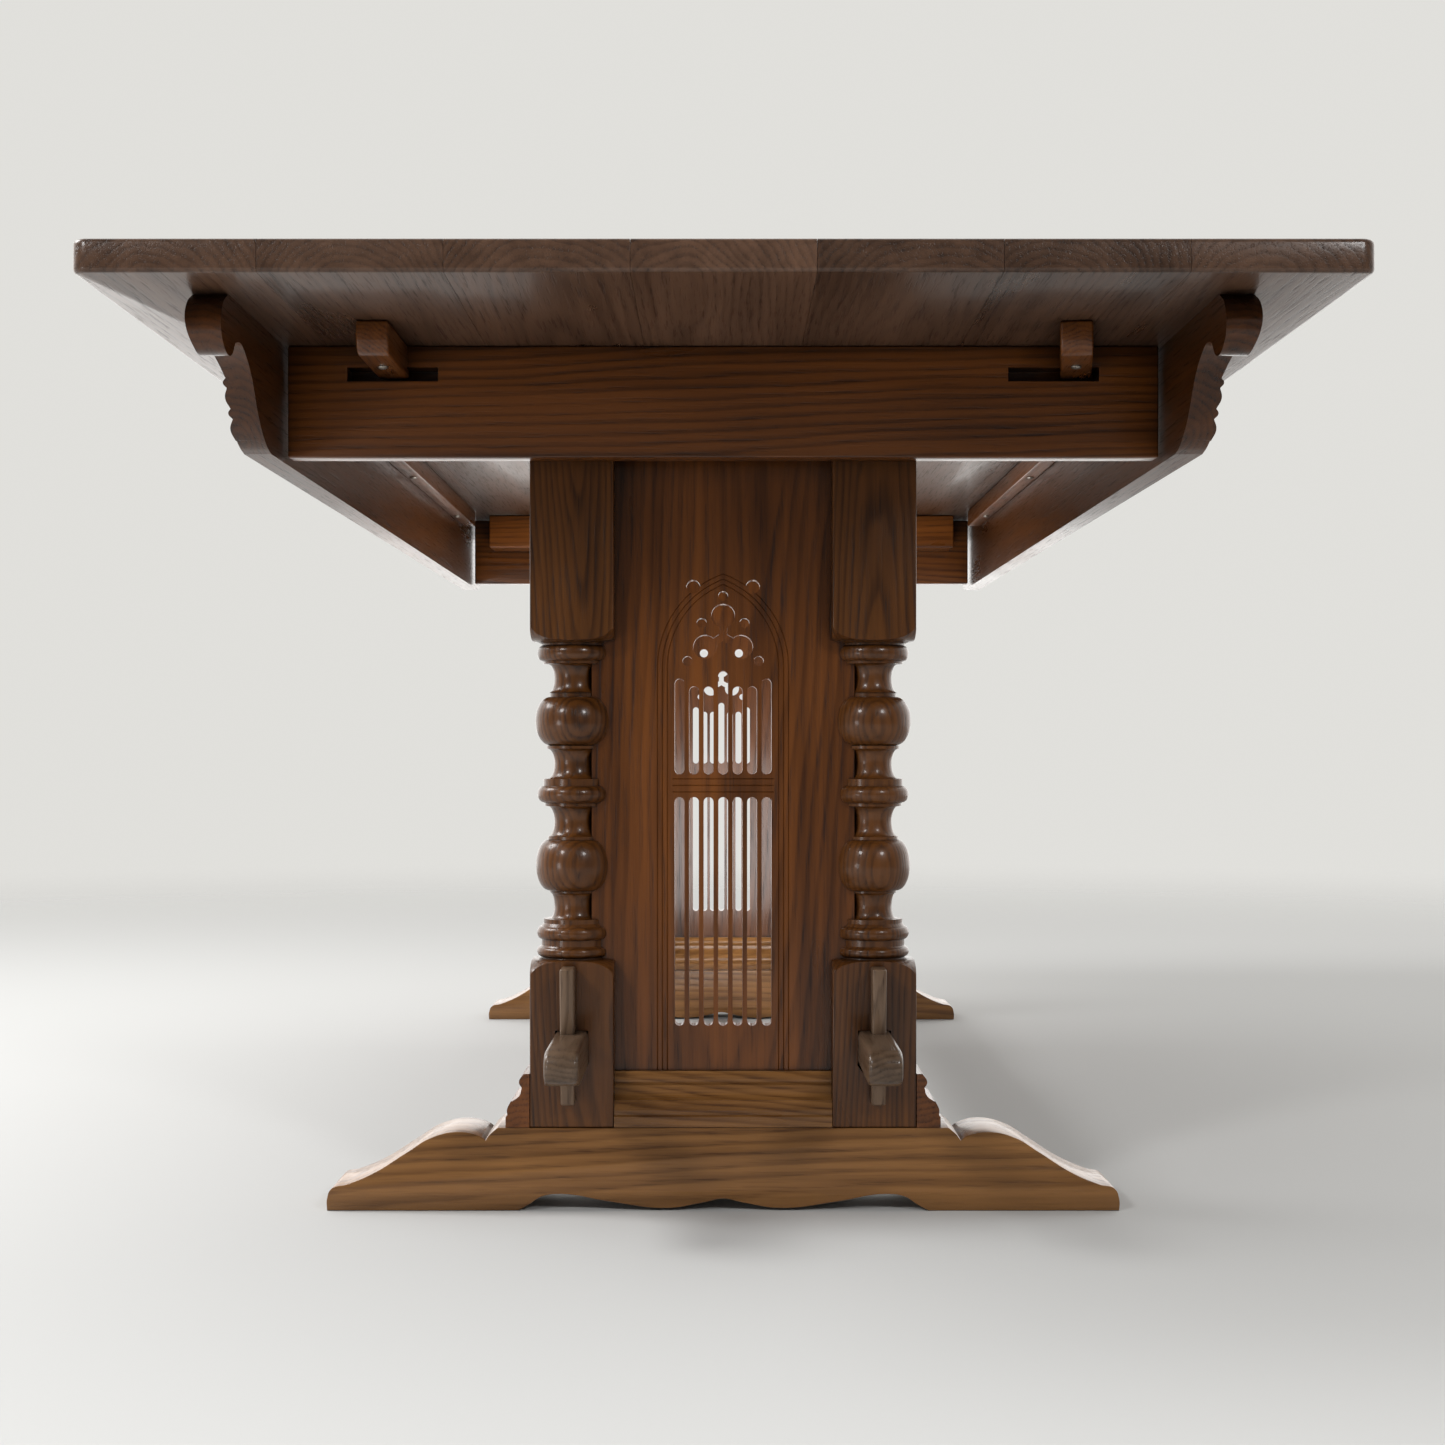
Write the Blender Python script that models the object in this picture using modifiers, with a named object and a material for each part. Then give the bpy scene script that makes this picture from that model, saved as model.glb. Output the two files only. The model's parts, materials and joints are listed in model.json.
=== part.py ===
"""Communion table: a knock-down refectory table in dark oak.

Two pierced trestles on scrolled feet are drawn together by two wedged stretchers. The planked top carries
moulded side rails and is held to the trestles by wooden buttons. X is the table's width, Y its length and
Z is up, in metres, with the origin on the floor under the middle of the table.
"""

import math

import bmesh
import bpy
from mathutils import Matrix

# The table as a whole
TABLE_LENGTH = 1.98
TABLE_WIDTH = 0.938
TABLE_HEIGHT = 0.7625
FIT = 0.0003  # clearance left between pieces that touch

# Planked top
TOP_THICKNESS = 0.0245
TOP_BOARDS = 7
TOP_CORNER_RADIUS = 0.012
UNDERSIDE = TABLE_HEIGHT - TOP_THICKNESS

# Trestles: "out" is measured from a trestle's centre plane towards its own end of the table
TRESTLE_Y = 0.6485
POST_X = 0.130
POST_SIZE = 0.072
POST_BOTTOM = 0.0708
POST_TOP = 0.6905
LOWER_BLOCK_TOP = 0.2138
UPPER_BLOCK_BOTTOM = 0.4896
SHOULDER_DROP = 0.016
POST_TENON = (0.040, 0.020, 0.022)  # width, thickness, length
FOOT_THICKNESS = 0.074
PANEL_OUT = (-0.002, 0.015)
PANEL_HALF_WIDTH = 0.1140
PANEL_BOTTOM = 0.1174
PLINTH_HEIGHT = 0.0460
BEARER_HALF_LENGTH = 0.340
BEARER_OUT = (-0.0360, 0.0357)

# Aprons across the ends, side rails and battens
APRON_HALF_LENGTH = 0.369
APRON_OUT = (0.0363, 0.0600)
APRON_BOTTOM = 0.643
SLOT_X = 0.280
SLOT_SIZE = (0.077, 0.012)
SLOT_BOTTOM = 0.7075
RAIL_HALF_LENGTH = 0.936
RAIL_INNER_X = 0.3725
RAIL_OUTER_X = 0.3995
RAIL_BOTTOM = 0.639
BATTEN_SIZE = (0.018, 0.022)
BATTEN_HALF_LENGTH = 0.560
BATTEN_SCREWS_Y = (-0.42, 0.0, 0.42)

# Buttons that hold the top to the aprons
BUTTON_WIDTH = 0.026
BUTTON_HEIGHT = 0.027
BUTTON_REACH = 0.058
BUTTON_REAR = 0.050
BUTTON_TONGUE = 0.064
TONGUE_HEIGHT = 0.008
BUTTON_PIVOT_OUT = APRON_OUT[1] + 0.052
TURNED_BUTTON_X = 0.2905
TURNED_BUTTON_ANGLE = math.radians(-9.0)

# Stretchers and their wedges
STRETCHER_SIZE = (0.028, 0.070)
STRETCHER_BOTTOM = 0.105
TENON_BOTTOM = 0.125
TENON_HEIGHT = 0.029
TENON_REACH = 0.128  # beyond the post's outer face
WEDGE_X = 0.1325
WEDGE_THICKNESS = 0.012
WEDGE_BOTTOM = 0.0926
WEDGE_TOP = 0.2096
WEDGE_DEPTH = (0.016, 0.028)  # at the bottom and at the top

# Screws
SCREW_SHANK = 0.0022
SCREW_HEAD = 0.0045
SCREW_HEAD_HEIGHT = 0.0022
SCREW_BITE = 0.012
SCREW_HOLE = SCREW_SHANK + FIT

# Turned part of a post, from the top down: kind, top, bottom, radius at the ends, radius at the middle
TURNING = (
    ("fillet", 0.4878, 0.4862, 0.0290, 0.0290),
    ("bead", 0.4860, 0.4730, 0.0285, 0.0322),
    ("fillet", 0.4723, 0.4703, 0.0270, 0.0270),
    ("cove", 0.4700, 0.4450, 0.0225, 0.0175),
    ("fillet", 0.4448, 0.4415, 0.0212, 0.0212),
    ("bulb", 0.4415, 0.3994, 0.0215, 0.0342),
    ("fillet", 0.3989, 0.3964, 0.0240, 0.0240),
    ("cove", 0.3962, 0.3705, 0.0230, 0.0175),
    ("fillet", 0.3700, 0.3653, 0.0270, 0.0270),
    ("bead", 0.3640, 0.3495, 0.0270, 0.0322),
    ("fillet", 0.3490, 0.3465, 0.0260, 0.0260),
    ("cove", 0.3462, 0.3198, 0.0230, 0.0175),
    ("fillet", 0.3196, 0.3173, 0.0230, 0.0230),
    ("bulb", 0.3171, 0.2728, 0.0225, 0.0335),
    ("fillet", 0.2725, 0.2710, 0.0215, 0.0215),
    ("cove", 0.2708, 0.2484, 0.0212, 0.0175),
    ("fillet", 0.2482, 0.2445, 0.0267, 0.0267),
    ("bead", 0.2418, 0.2305, 0.0285, 0.0325),
    ("fillet", 0.2285, 0.2252, 0.0285, 0.0285),
    ("bead", 0.2239, 0.2156, 0.0295, 0.0325),
    ("fillet", 0.2150, 0.2142, 0.0290, 0.0290),
)
TURNING_STEPS = {"bead": 2, "cove": 3, "bulb": 4}
TURNING_SIDES = 12

# Half of a foot's outline: distance from the middle, height, and whether the outline is smooth there
FOOT_UPPER = (
    (0.2005, 0.0649, True),
    (0.2039, 0.0600, False),
    (0.2087, 0.0634, True),
    (0.2265, 0.0674, True),
    (0.2500, 0.0627, True),
    (0.2717, 0.0497, True),
    (0.2991, 0.0326, True),
    (0.3238, 0.0222, True),
    (0.3361, 0.0188, True),
    (0.3400, 0.0100, True),
    (0.3400, 0.0000, False),
)
FOOT_UNDERSIDE = (
    (0.1761, 0.0000, False),
    (0.1668, 0.0051, True),
    (0.1558, 0.0119, True),
    (0.1394, 0.0141, True),
    (0.0983, 0.0078, True),
    (0.0490, 0.0021, True),
    (0.0163, 0.0070, True),
)
FOOT_CREST = 0.0102
FOOT_FLAT = 0.1940

# Scrolled end of a side rail: distance behind the scroll's nose, height
RAIL_SCROLL = (
    (0.0220, 0.7377, False),
    (0.0055, 0.7270, True),
    (0.0000, 0.7080, True),
    (0.0100, 0.6965, True),
    (0.0240, 0.6925, True),
    (0.0370, 0.6960, True),
    (0.0465, 0.7060, False),
    (0.0640, 0.7090, True),
    (0.0810, 0.7040, True),
    (0.1040, 0.6900, True),
    (0.1275, 0.6645, True),
    (0.1420, 0.6530, True),
    (0.1610, 0.6430, True),
    (0.1780, 0.6390, False),
)
# Moulded section of a side rail, outer face from the top down: distance out from the inner face, height
RAIL_MOULDING = (
    (0.0268, 0.7377, False),
    (0.0270, 0.7150, True),
    (0.0215, 0.6905, False),
    (0.0210, 0.6893, False),
    (0.0239, 0.6860, True),
    (0.0216, 0.6825, False),
    (0.0242, 0.6755, True),
    (0.0214, 0.6680, False),
    (0.0239, 0.6645, True),
    (0.0213, 0.6608, False),
    (0.0253, 0.6535, True),
    (0.0238, 0.6467, False),
    (0.0229, 0.6465, False),
    (0.0223, 0.6390, False),
)
# Plinth moulding round the foot of a trestle: distance out from its face, height above the foot
PLINTH_MOULDING = (
    (0.0205, 0.0000, False),
    (0.0205, 0.0090, False),
    (0.0190, 0.0105, False),
    (0.0193, 0.0150, True),
    (0.0160, 0.0225, False),
    (0.0148, 0.0225, False),
    (0.0085, 0.0275, True),
    (0.0067, 0.0340, False),
    (0.0090, 0.0390, True),
    (0.0050, 0.0460, False),
)

# Pierced tracery of a panel
LIGHT_PITCH = 0.0126
LIGHT_WIDTH = 0.0086
UPPER_LIGHT_TOPS = (0.4572, 0.4505, 0.4505, 0.4638, 0.4505, 0.4505, 0.4572)
UPPER_LIGHT_BOTTOM = 0.3740
LOWER_LIGHT = (0.1558, 0.3543)
TREFOIL_CENTRE = 0.4938
TREFOIL_REACH = 0.0180
TREFOIL_LOBE = 0.0104
TREFOIL_NECK = 0.0035
PIERCED_HOLES = ((0.0259, 0.5370, 0.0060), (0.0186, 0.5055, 0.0043), (0.0309, 0.4725, 0.0043))
CROWN_HOLE = (0.0, 0.5290, 0.0043)

OUTLINE_STEPS = 2
ARC_STEPS = 4

# Colours of the oak, before its finish
LACQUERED_OAK = (0.110, 0.042, 0.018)
TURNED_OAK = (0.095, 0.036, 0.016)
FOOT_OAK = (0.170, 0.085, 0.038)
TOP_OAK = (0.085, 0.045, 0.030)
STEEL = (0.300, 0.290, 0.280)

# Outlines are drawn flat and stood up in one of three directions
FRONT = Matrix.Rotation(math.radians(90), 4, "X")
SIDE = Matrix(((0, 0, 1, 0), (1, 0, 0, 0), (0, 1, 0, 0), (0, 0, 0, 1)))
PLAN = Matrix.Identity(4)


def clear_scene():
    for item in list(bpy.data.objects):
        bpy.data.objects.remove(item, do_unlink=True)


def new_collection(name):
    collection = bpy.data.collections.new(name)
    bpy.context.scene.collection.children.link(collection)
    return collection


def principled(name, colour, roughness, metallic=0.0):
    """A Principled material of one colour."""
    material = bpy.data.materials.new(name)
    material.use_nodes = True
    shader = material.node_tree.nodes["Principled BSDF"]
    shader.inputs["Base Color"].default_value = (*colour, 1.0)
    shader.inputs["Roughness"].default_value = roughness
    shader.inputs["Metallic"].default_value = metallic
    return material


def arc(centre, radius, start, end, steps=ARC_STEPS):
    """Corner points along an arc, angles in degrees."""
    angles = [math.radians(start + (end - start) * step / steps) for step in range(steps + 1)]
    return [(centre[0] + radius * math.cos(a), centre[1] + radius * math.sin(a), False) for a in angles]


def circle(centre, radius):
    return arc(centre, radius, 0, 360, 2 * ARC_STEPS)[:-1]


def round_ended_slot(x, bottom, top, width):
    """An upright slot with semicircular ends."""
    radius = width / 2
    return arc((x, top - radius), radius, 0, 180) + arc((x, bottom + radius), radius, 180, 360)


def rectangle(low_u, low_v, high_u, high_v):
    return [(low_u, low_v, False), (high_u, low_v, False), (high_u, high_v, False), (low_u, high_v, False)]


def draw_loop(curve, loop):
    """Adds one closed loop of (u, v, smooth) points to a curve."""
    spline = curve.splines.new("BEZIER")
    spline.bezier_points.add(len(loop) - 1)
    spline.use_cyclic_u = True
    for knot, point in zip(spline.bezier_points, loop):
        knot.co = (point[0], point[1], 0.0)
    for knot, point in zip(spline.bezier_points, loop):
        knot.handle_left_type = knot.handle_right_type = "AUTO" if point[2] else "VECTOR"


def extruded(name, loops, low, high, frame):
    """A mesh from flat loops, extruded from low to high along the frame's own third direction."""
    curve = bpy.data.curves.new(name, "CURVE")
    curve.dimensions = "2D"
    curve.fill_mode = "BOTH"
    curve.extrude = (high - low) / 2
    curve.resolution_u = OUTLINE_STEPS
    for loop in loops:
        draw_loop(curve, loop)
    holder = bpy.data.objects.new(name + "_outline", curve)
    bpy.context.scene.collection.objects.link(holder)
    holder.matrix_world = frame @ Matrix.Translation((0, 0, (low + high) / 2))
    bpy.context.view_layer.update()
    evaluated = holder.evaluated_get(bpy.context.evaluated_depsgraph_get())
    mesh = bpy.data.meshes.new_from_object(evaluated)
    mesh.transform(holder.matrix_world)
    mesh.name = name
    bpy.data.objects.remove(holder, do_unlink=True)
    weld(mesh)
    return mesh


def weld(mesh):
    """Joins a curve's loose caps to its sides and points every face out."""
    bm = bmesh.new()
    bm.from_mesh(mesh)
    bmesh.ops.remove_doubles(bm, verts=bm.verts, dist=0.00001)
    bmesh.ops.recalc_face_normals(bm, faces=bm.faces)
    bm.to_mesh(mesh)
    bm.free()


def front_outline(name, loops, low_y, high_y):
    """Loops of (x, z) points, extruded along Y."""
    return extruded(name, loops, -high_y, -low_y, FRONT)


def side_outline(name, loops, low_x, high_x):
    """Loops of (y, z) points, extruded along X."""
    return extruded(name, loops, low_x, high_x, SIDE)


def box_mesh(name, low, high):
    size = [b - a for a, b in zip(low, high)]
    middle = [(a + b) / 2 for a, b in zip(low, high)]
    mesh = bpy.data.meshes.new(name)
    bm = bmesh.new()
    bmesh.ops.create_cube(bm, size=1.0, matrix=Matrix.Translation(middle) @ Matrix.Diagonal((*size, 1.0)))
    bm.to_mesh(mesh)
    bm.free()
    return mesh


def rod_mesh(name, x, y, low_z, high_z, radius):
    """An upright rod."""
    mesh = bpy.data.meshes.new(name)
    bm = bmesh.new()
    place = Matrix.Translation((x, y, (low_z + high_z) / 2))
    bmesh.ops.create_cone(
        bm, cap_ends=True, segments=10, radius1=radius, radius2=radius, depth=high_z - low_z, matrix=place
    )
    bm.to_mesh(mesh)
    bm.free()
    return mesh


def out_range(end, out):
    """The Y range of a stretch given as distances out from the trestle at one end, -1 or 1."""
    ends = sorted(end * (TRESTLE_Y + distance) for distance in out)
    return ends[0], ends[1]


class Workshop:
    """Makes the table's pieces, and the cutters that shape them."""

    def __init__(self):
        self.parts = new_collection("communion_table")
        self.cutters = new_collection("cutters")
        self.base = bpy.data.objects.new("table_origin", None)
        self.parts.objects.link(self.base)

    def piece(self, name, mesh, material):
        item = bpy.data.objects.new(name, mesh)
        mesh.materials.clear()
        mesh.materials.append(material)
        self.parts.objects.link(item)
        item.parent = self.base
        return item

    def cutter(self, mesh):
        item = bpy.data.objects.new("cutter_" + mesh.name, mesh)
        item.hide_render = True
        item.display_type = "WIRE"
        self.cutters.objects.link(item)
        return item

    def shape(self, item, operation, mesh):
        """Cuts, joins or intersects a piece with a mesh."""
        self.shape_with(item, operation, self.cutter(mesh))

    def shape_with(self, item, operation, cutter):
        boolean = item.modifiers.new(operation.lower(), "BOOLEAN")
        boolean.operation = operation
        boolean.solver = "EXACT"
        boolean.object = cutter


def make_materials():
    return {
        "oak": principled("lacquered_oak", LACQUERED_OAK, 0.30),
        "turned": principled("turned_oak", TURNED_OAK, 0.25),
        "foot": principled("foot_oak", FOOT_OAK, 0.30),
        "top": principled("top_oak", TOP_OAK, 0.30),
        "steel": principled("screw_steel", STEEL, 0.40, 1.0),
    }


def board_loop(low, high, half_length, round_low, round_high):
    """Plan of one board, its outer corners rounded where it lies along the table's edge."""
    radius = TOP_CORNER_RADIUS
    inset = half_length - radius
    loop = []
    if round_low:
        loop += arc((low + radius, -inset), radius, 180, 270)
    else:
        loop.append((low, -half_length, False))
    if round_high:
        loop += arc((high - radius, -inset), radius, 270, 360)
        loop += arc((high - radius, inset), radius, 0, 90)
    else:
        loop += [(high, -half_length, False), (high, half_length, False)]
    if round_low:
        loop += arc((low + radius, inset), radius, 90, 180)
    else:
        loop.append((low, half_length, False))
    return loop


def screw_places():
    """Name, x, y and head height of every screw."""
    places = []
    for end, end_name in ((-1, "front"), (1, "back")):
        for side, side_name in ((-1, "left"), (1, "right")):
            x = button_x(end, side)
            y = end * (TRESTLE_Y + BUTTON_PIVOT_OUT)
            places.append((f"button_screw_{end_name}_{side_name}", x, y, UNDERSIDE - BUTTON_HEIGHT))
    for side, side_name in ((-1, "left"), (1, "right")):
        x = side * (RAIL_INNER_X - BATTEN_SIZE[0] / 2)
        for number, y in enumerate(BATTEN_SCREWS_Y, 1):
            places.append((f"batten_screw_{side_name}_{number}", x, y, UNDERSIDE - BATTEN_SIZE[1]))
    return places


def make_top(shop, material):
    """Edge-jointed boards that run the table's length, bored from below for the screws."""
    width = TABLE_WIDTH / TOP_BOARDS
    for number in range(TOP_BOARDS):
        low = -TABLE_WIDTH / 2 + number * width
        high = low + width - (FIT if number < TOP_BOARDS - 1 else 0.0)
        loop = board_loop(low, high, TABLE_LENGTH / 2, number == 0, number == TOP_BOARDS - 1)
        mesh = extruded(f"top_board_{number + 1}", [loop], UNDERSIDE, TABLE_HEIGHT, PLAN)
        board = shop.piece(f"top_board_{number + 1}", mesh, material)
        for name, x, y, head in screw_places():
            if low < x < high:
                hole_top = UNDERSIDE + SCREW_BITE + FIT
                shop.shape(board, "DIFFERENCE", rod_mesh(name, x, y, UNDERSIDE - 0.01, hole_top, SCREW_HOLE))


def rail_loop():
    """Side view of a rail: scrolled alike at both ends."""
    far = [(RAIL_HALF_LENGTH - s, z, smooth) for s, z, smooth in RAIL_SCROLL]
    near = [(s - RAIL_HALF_LENGTH, z, smooth) for s, z, smooth in RAIL_SCROLL]
    return far + near[::-1]


def make_rails(shop, material):
    """Moulded rails under the long edges, with a batten that fixes each to the top."""
    for side, name in ((-1, "left"), (1, "right")):
        section = [(side * RAIL_INNER_X, 0.7377, False)]
        section += [(side * (RAIL_INNER_X + out), z, smooth) for out, z, smooth in RAIL_MOULDING]
        section.append((side * RAIL_INNER_X, RAIL_BOTTOM, False))
        low, high = sorted((side * (RAIL_INNER_X - 0.01), side * (RAIL_OUTER_X + 0.01)))
        mesh = front_outline(f"side_rail_{name}", [section], -RAIL_HALF_LENGTH - 0.01, RAIL_HALF_LENGTH + 0.01)
        rail = shop.piece(f"side_rail_{name}", mesh, material)
        shop.shape(rail, "INTERSECT", side_outline(f"scrolls_{name}", [rail_loop()], low, high))
        make_batten(shop, material, side, name)


def make_batten(shop, material, side, name):
    inner, outer = RAIL_INNER_X - FIT - BATTEN_SIZE[0], RAIL_INNER_X - FIT
    low_x, high_x = sorted((side * inner, side * outer))
    low = (low_x, -BATTEN_HALF_LENGTH, UNDERSIDE - BATTEN_SIZE[1])
    high = (high_x, BATTEN_HALF_LENGTH, UNDERSIDE - FIT)
    batten = shop.piece(f"batten_{name}", box_mesh(f"batten_{name}", low, high), material)
    x = side * (RAIL_INNER_X - BATTEN_SIZE[0] / 2)
    for number, y in enumerate(BATTEN_SCREWS_Y, 1):
        hole = rod_mesh(f"batten_{name}_{number}", x, y, low[2] - 0.01, UNDERSIDE + 0.01, SCREW_HOLE)
        shop.shape(batten, "DIFFERENCE", hole)


def make_screws(shop, material):
    """Round-headed screws, driven up into the top."""
    for name, x, y, surface in screw_places():
        head_top = surface - FIT
        head_bottom = head_top - SCREW_HEAD_HEIGHT
        tip = UNDERSIDE + SCREW_BITE
        profile = (
            (0.0, tip),
            (SCREW_SHANK, tip - 0.002),
            (SCREW_SHANK, head_top),
            (SCREW_HEAD, head_top),
            (SCREW_HEAD * 0.8, head_bottom + SCREW_HEAD_HEIGHT * 0.3),
            (0.0, head_bottom),
        )
        screw = shop.piece(name, profile_mesh(name, profile), material)
        screw.location = (x, y, 0.0)
        lathe(screw, 10)


def profile_mesh(name, profile):
    """An open line of (radius, z) points on the X side of the axis, top to bottom."""
    mesh = bpy.data.meshes.new(name)
    vertices = [(radius, 0.0, z) for radius, z in profile]
    mesh.from_pydata(vertices, [(i, i + 1) for i in range(len(vertices) - 1)], [])
    return mesh


def lathe(item, sides):
    """Turns a profile round the object's own Z axis."""
    screw = item.modifiers.new("turned", "SCREW")
    screw.axis = "Z"
    screw.steps = screw.render_steps = sides
    screw.use_merge_vertices = True
    screw.merge_threshold = 0.0001
    screw.use_normal_calculate = False


def button_x(end, side):
    """Where a button is screwed to the top. The one at the front right has been turned a little."""
    return TURNED_BUTTON_X if (end, side) == (-1, 1) else side * SLOT_X


def make_buttons(shop, material):
    """Blocks screwed up against the top, each with a tongue in one of the apron's slots."""
    bottom = UNDERSIDE - BUTTON_HEIGHT
    top = UNDERSIDE - FIT
    for end, end_name in ((-1, "front"), (1, "back")):
        for side, side_name in ((-1, "left"), (1, "right")):
            loop = [
                (end * -BUTTON_TONGUE, bottom, False),
                (end * -BUTTON_TONGUE, bottom + TONGUE_HEIGHT, False),
                (end * -BUTTON_REAR, bottom + TONGUE_HEIGHT, False),
                (end * -BUTTON_REAR, top, False),
                (end * BUTTON_REACH, top, False),
                (end * BUTTON_REACH, bottom + 0.010, False),
                (end * (BUTTON_REACH - 0.003), bottom + 0.003, False),
                (end * (BUTTON_REACH - 0.010), bottom, False),
            ]
            name = f"button_{end_name}_{side_name}"
            half = BUTTON_WIDTH / 2
            button = shop.piece(name, side_outline(name, [loop], -half, half), material)
            x, y = button_x(end, side), end * (TRESTLE_Y + BUTTON_PIVOT_OUT)
            button.location = (x, y, 0.0)
            if (end, side) == (-1, 1):
                button.rotation_euler.z = TURNED_BUTTON_ANGLE
            shop.shape(button, "DIFFERENCE", rod_mesh(name, x, y, bottom - 0.01, top + 0.01, SCREW_HOLE))


def make_apron(shop, material, end, name):
    """Board across the trestle's outer face, slotted for the buttons' tongues."""
    low_y, high_y = out_range(end, APRON_OUT)
    low = (-APRON_HALF_LENGTH, low_y, APRON_BOTTOM)
    high = (APRON_HALF_LENGTH, high_y, UNDERSIDE - FIT)
    apron = shop.piece(f"apron_{name}", box_mesh(f"apron_{name}", low, high), material)
    for side in (-1, 1):
        x = side * SLOT_X
        slot_low = (x - SLOT_SIZE[0] / 2, low_y - 0.01, SLOT_BOTTOM)
        slot_high = (x + SLOT_SIZE[0] / 2, high_y + 0.01, SLOT_BOTTOM + SLOT_SIZE[1])
        shop.shape(apron, "DIFFERENCE", box_mesh(f"slot_{name}_{side}", slot_low, slot_high))


def turned_profile():
    """Outline of a post's lathe work, top to bottom, wide enough at the blocks to leave them square."""
    profile = [(0.0, 0.75), (0.056, 0.75), (0.056, UPPER_BLOCK_BOTTOM + SHOULDER_DROP)]
    profile += shoulder(UPPER_BLOCK_BOTTOM, 1)
    for kind, top, bottom, radius, middle_radius in TURNING:
        profile += moulding_points(kind, top, bottom, radius, middle_radius)
    profile += shoulder(LOWER_BLOCK_TOP, -1)[::-1]
    profile += [(0.056, LOWER_BLOCK_TOP - SHOULDER_DROP), (0.056, 0.0), (0.0, 0.0)]
    return profile


def shoulder(level, up, steps=3):
    """Quarter of an ellipse from a block's corners in to its shoulder."""
    inner, outer = 0.033, 0.0512
    points = []
    for step in range(steps + 1):
        angle = math.radians(90) * (1 - step / steps)
        radius = inner + (outer - inner) * math.sin(angle)
        points.append((radius, level + up * SHOULDER_DROP * (1 - math.cos(angle))))
    return points


def moulding_points(kind, top, bottom, radius, middle_radius):
    """Points of one bead, cove, bulb or fillet."""
    if kind == "fillet":
        return [(radius, (top + bottom) / 2)]
    steps = TURNING_STEPS[kind]
    middle, half = (top + bottom) / 2, (top - bottom) / 2
    points = []
    for step in range(steps + 1):
        angle = math.pi * step / steps
        swell = (middle_radius - radius) * math.sin(angle)
        points.append((radius + swell, middle + half * math.cos(angle)))
    return points


def make_post(shop, material, turning, end, side, name):
    """A square post, turned between its blocks, tenoned at both ends and grooved for the panel."""
    centre_x, centre_y = side * POST_X, end * TRESTLE_Y
    half = POST_SIZE / 2
    low = (centre_x - half, centre_y - half, POST_BOTTOM + FIT)
    high = (centre_x + half, centre_y + half, POST_TOP)
    post = shop.piece(name, box_mesh(name, low, high), material)
    envelope = shop.cutter(profile_mesh("turning_" + name, turning))
    envelope.location = (centre_x, centre_y, 0.0)
    lathe(envelope, TURNING_SIDES)
    shop.shape_with(post, "INTERSECT", envelope)
    for label, tenon in tenon_boxes(centre_x, end, 0.0).items():
        shop.shape(post, "UNION", box_mesh(f"{label}_{name}", *tenon))
    groove_x = sorted((side * (POST_X - half - 0.01), side * (PANEL_HALF_WIDTH + FIT)))
    groove_y = out_range(end, (PANEL_OUT[0] - FIT, PANEL_OUT[1] + FIT))
    groove = ((groove_x[0], groove_y[0], POST_BOTTOM - 0.001), (groove_x[1], groove_y[1], POST_TOP + 0.001))
    shop.shape(post, "DIFFERENCE", box_mesh("groove_" + name, *groove))
    reach = STRETCHER_SIZE[0] / 2 + FIT
    mortise_y = out_range(end, (-half - 0.01, half + 0.01))
    mortise_z = (TENON_BOTTOM - FIT, TENON_BOTTOM + TENON_HEIGHT + FIT)
    mortise = ((centre_x - reach, mortise_y[0], mortise_z[0]), (centre_x + reach, mortise_y[1], mortise_z[1]))
    shop.shape(post, "DIFFERENCE", box_mesh("mortise_" + name, *mortise))


def tenon_boxes(centre_x, end, clearance):
    """Lower and upper tenons of a post, or with a clearance their mortises."""
    width, thickness, length = POST_TENON
    low_x, high_x = centre_x - width / 2 - clearance, centre_x + width / 2 + clearance
    low_y, high_y = out_range(end, (-0.026 - clearance, -0.026 + thickness + clearance))
    inside = 0.0 if clearance else 0.008
    foot = ((low_x, low_y, POST_BOTTOM - length - clearance), (high_x, high_y, POST_BOTTOM + 0.001 + inside))
    head = ((low_x, low_y, POST_TOP - 0.001 - inside), (high_x, high_y, POST_TOP + length + clearance))
    return {"foot_tenon": foot, "head_tenon": head}


def make_foot(shop, material, end, name):
    """Scrolled foot across the trestle, mortised for the posts."""
    upper = [(FOOT_FLAT, POST_BOTTOM, False), *FOOT_UPPER]
    under = [*FOOT_UNDERSIDE]
    right = upper + under
    left = [(-x, z, smooth) for x, z, smooth in right][::-1]
    loop = right + [(0.0, FOOT_CREST, True)] + left
    mesh = front_outline(name, [loop], *out_range(end, (-FOOT_THICKNESS / 2, FOOT_THICKNESS / 2)))
    foot = shop.piece(name, mesh, material)
    for side in (-1, 1):
        mortise = tenon_boxes(side * POST_X, end, FIT)["foot_tenon"]
        shop.shape(foot, "DIFFERENCE", box_mesh(f"{name}_mortise_{side}", *mortise))


def make_bearer(shop, material, end, name):
    """Bearer across the tops of the posts, under the table top."""
    low_y, high_y = out_range(end, BEARER_OUT)
    low = (-BEARER_HALF_LENGTH, low_y, POST_TOP + FIT)
    high = (BEARER_HALF_LENGTH, high_y, UNDERSIDE - FIT)
    bearer = shop.piece(name, box_mesh(name, low, high), material)
    for side in (-1, 1):
        mortise = tenon_boxes(side * POST_X, end, FIT)["head_tenon"]
        shop.shape(bearer, "DIFFERENCE", box_mesh(f"{name}_mortise_{side}", *mortise))


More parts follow.
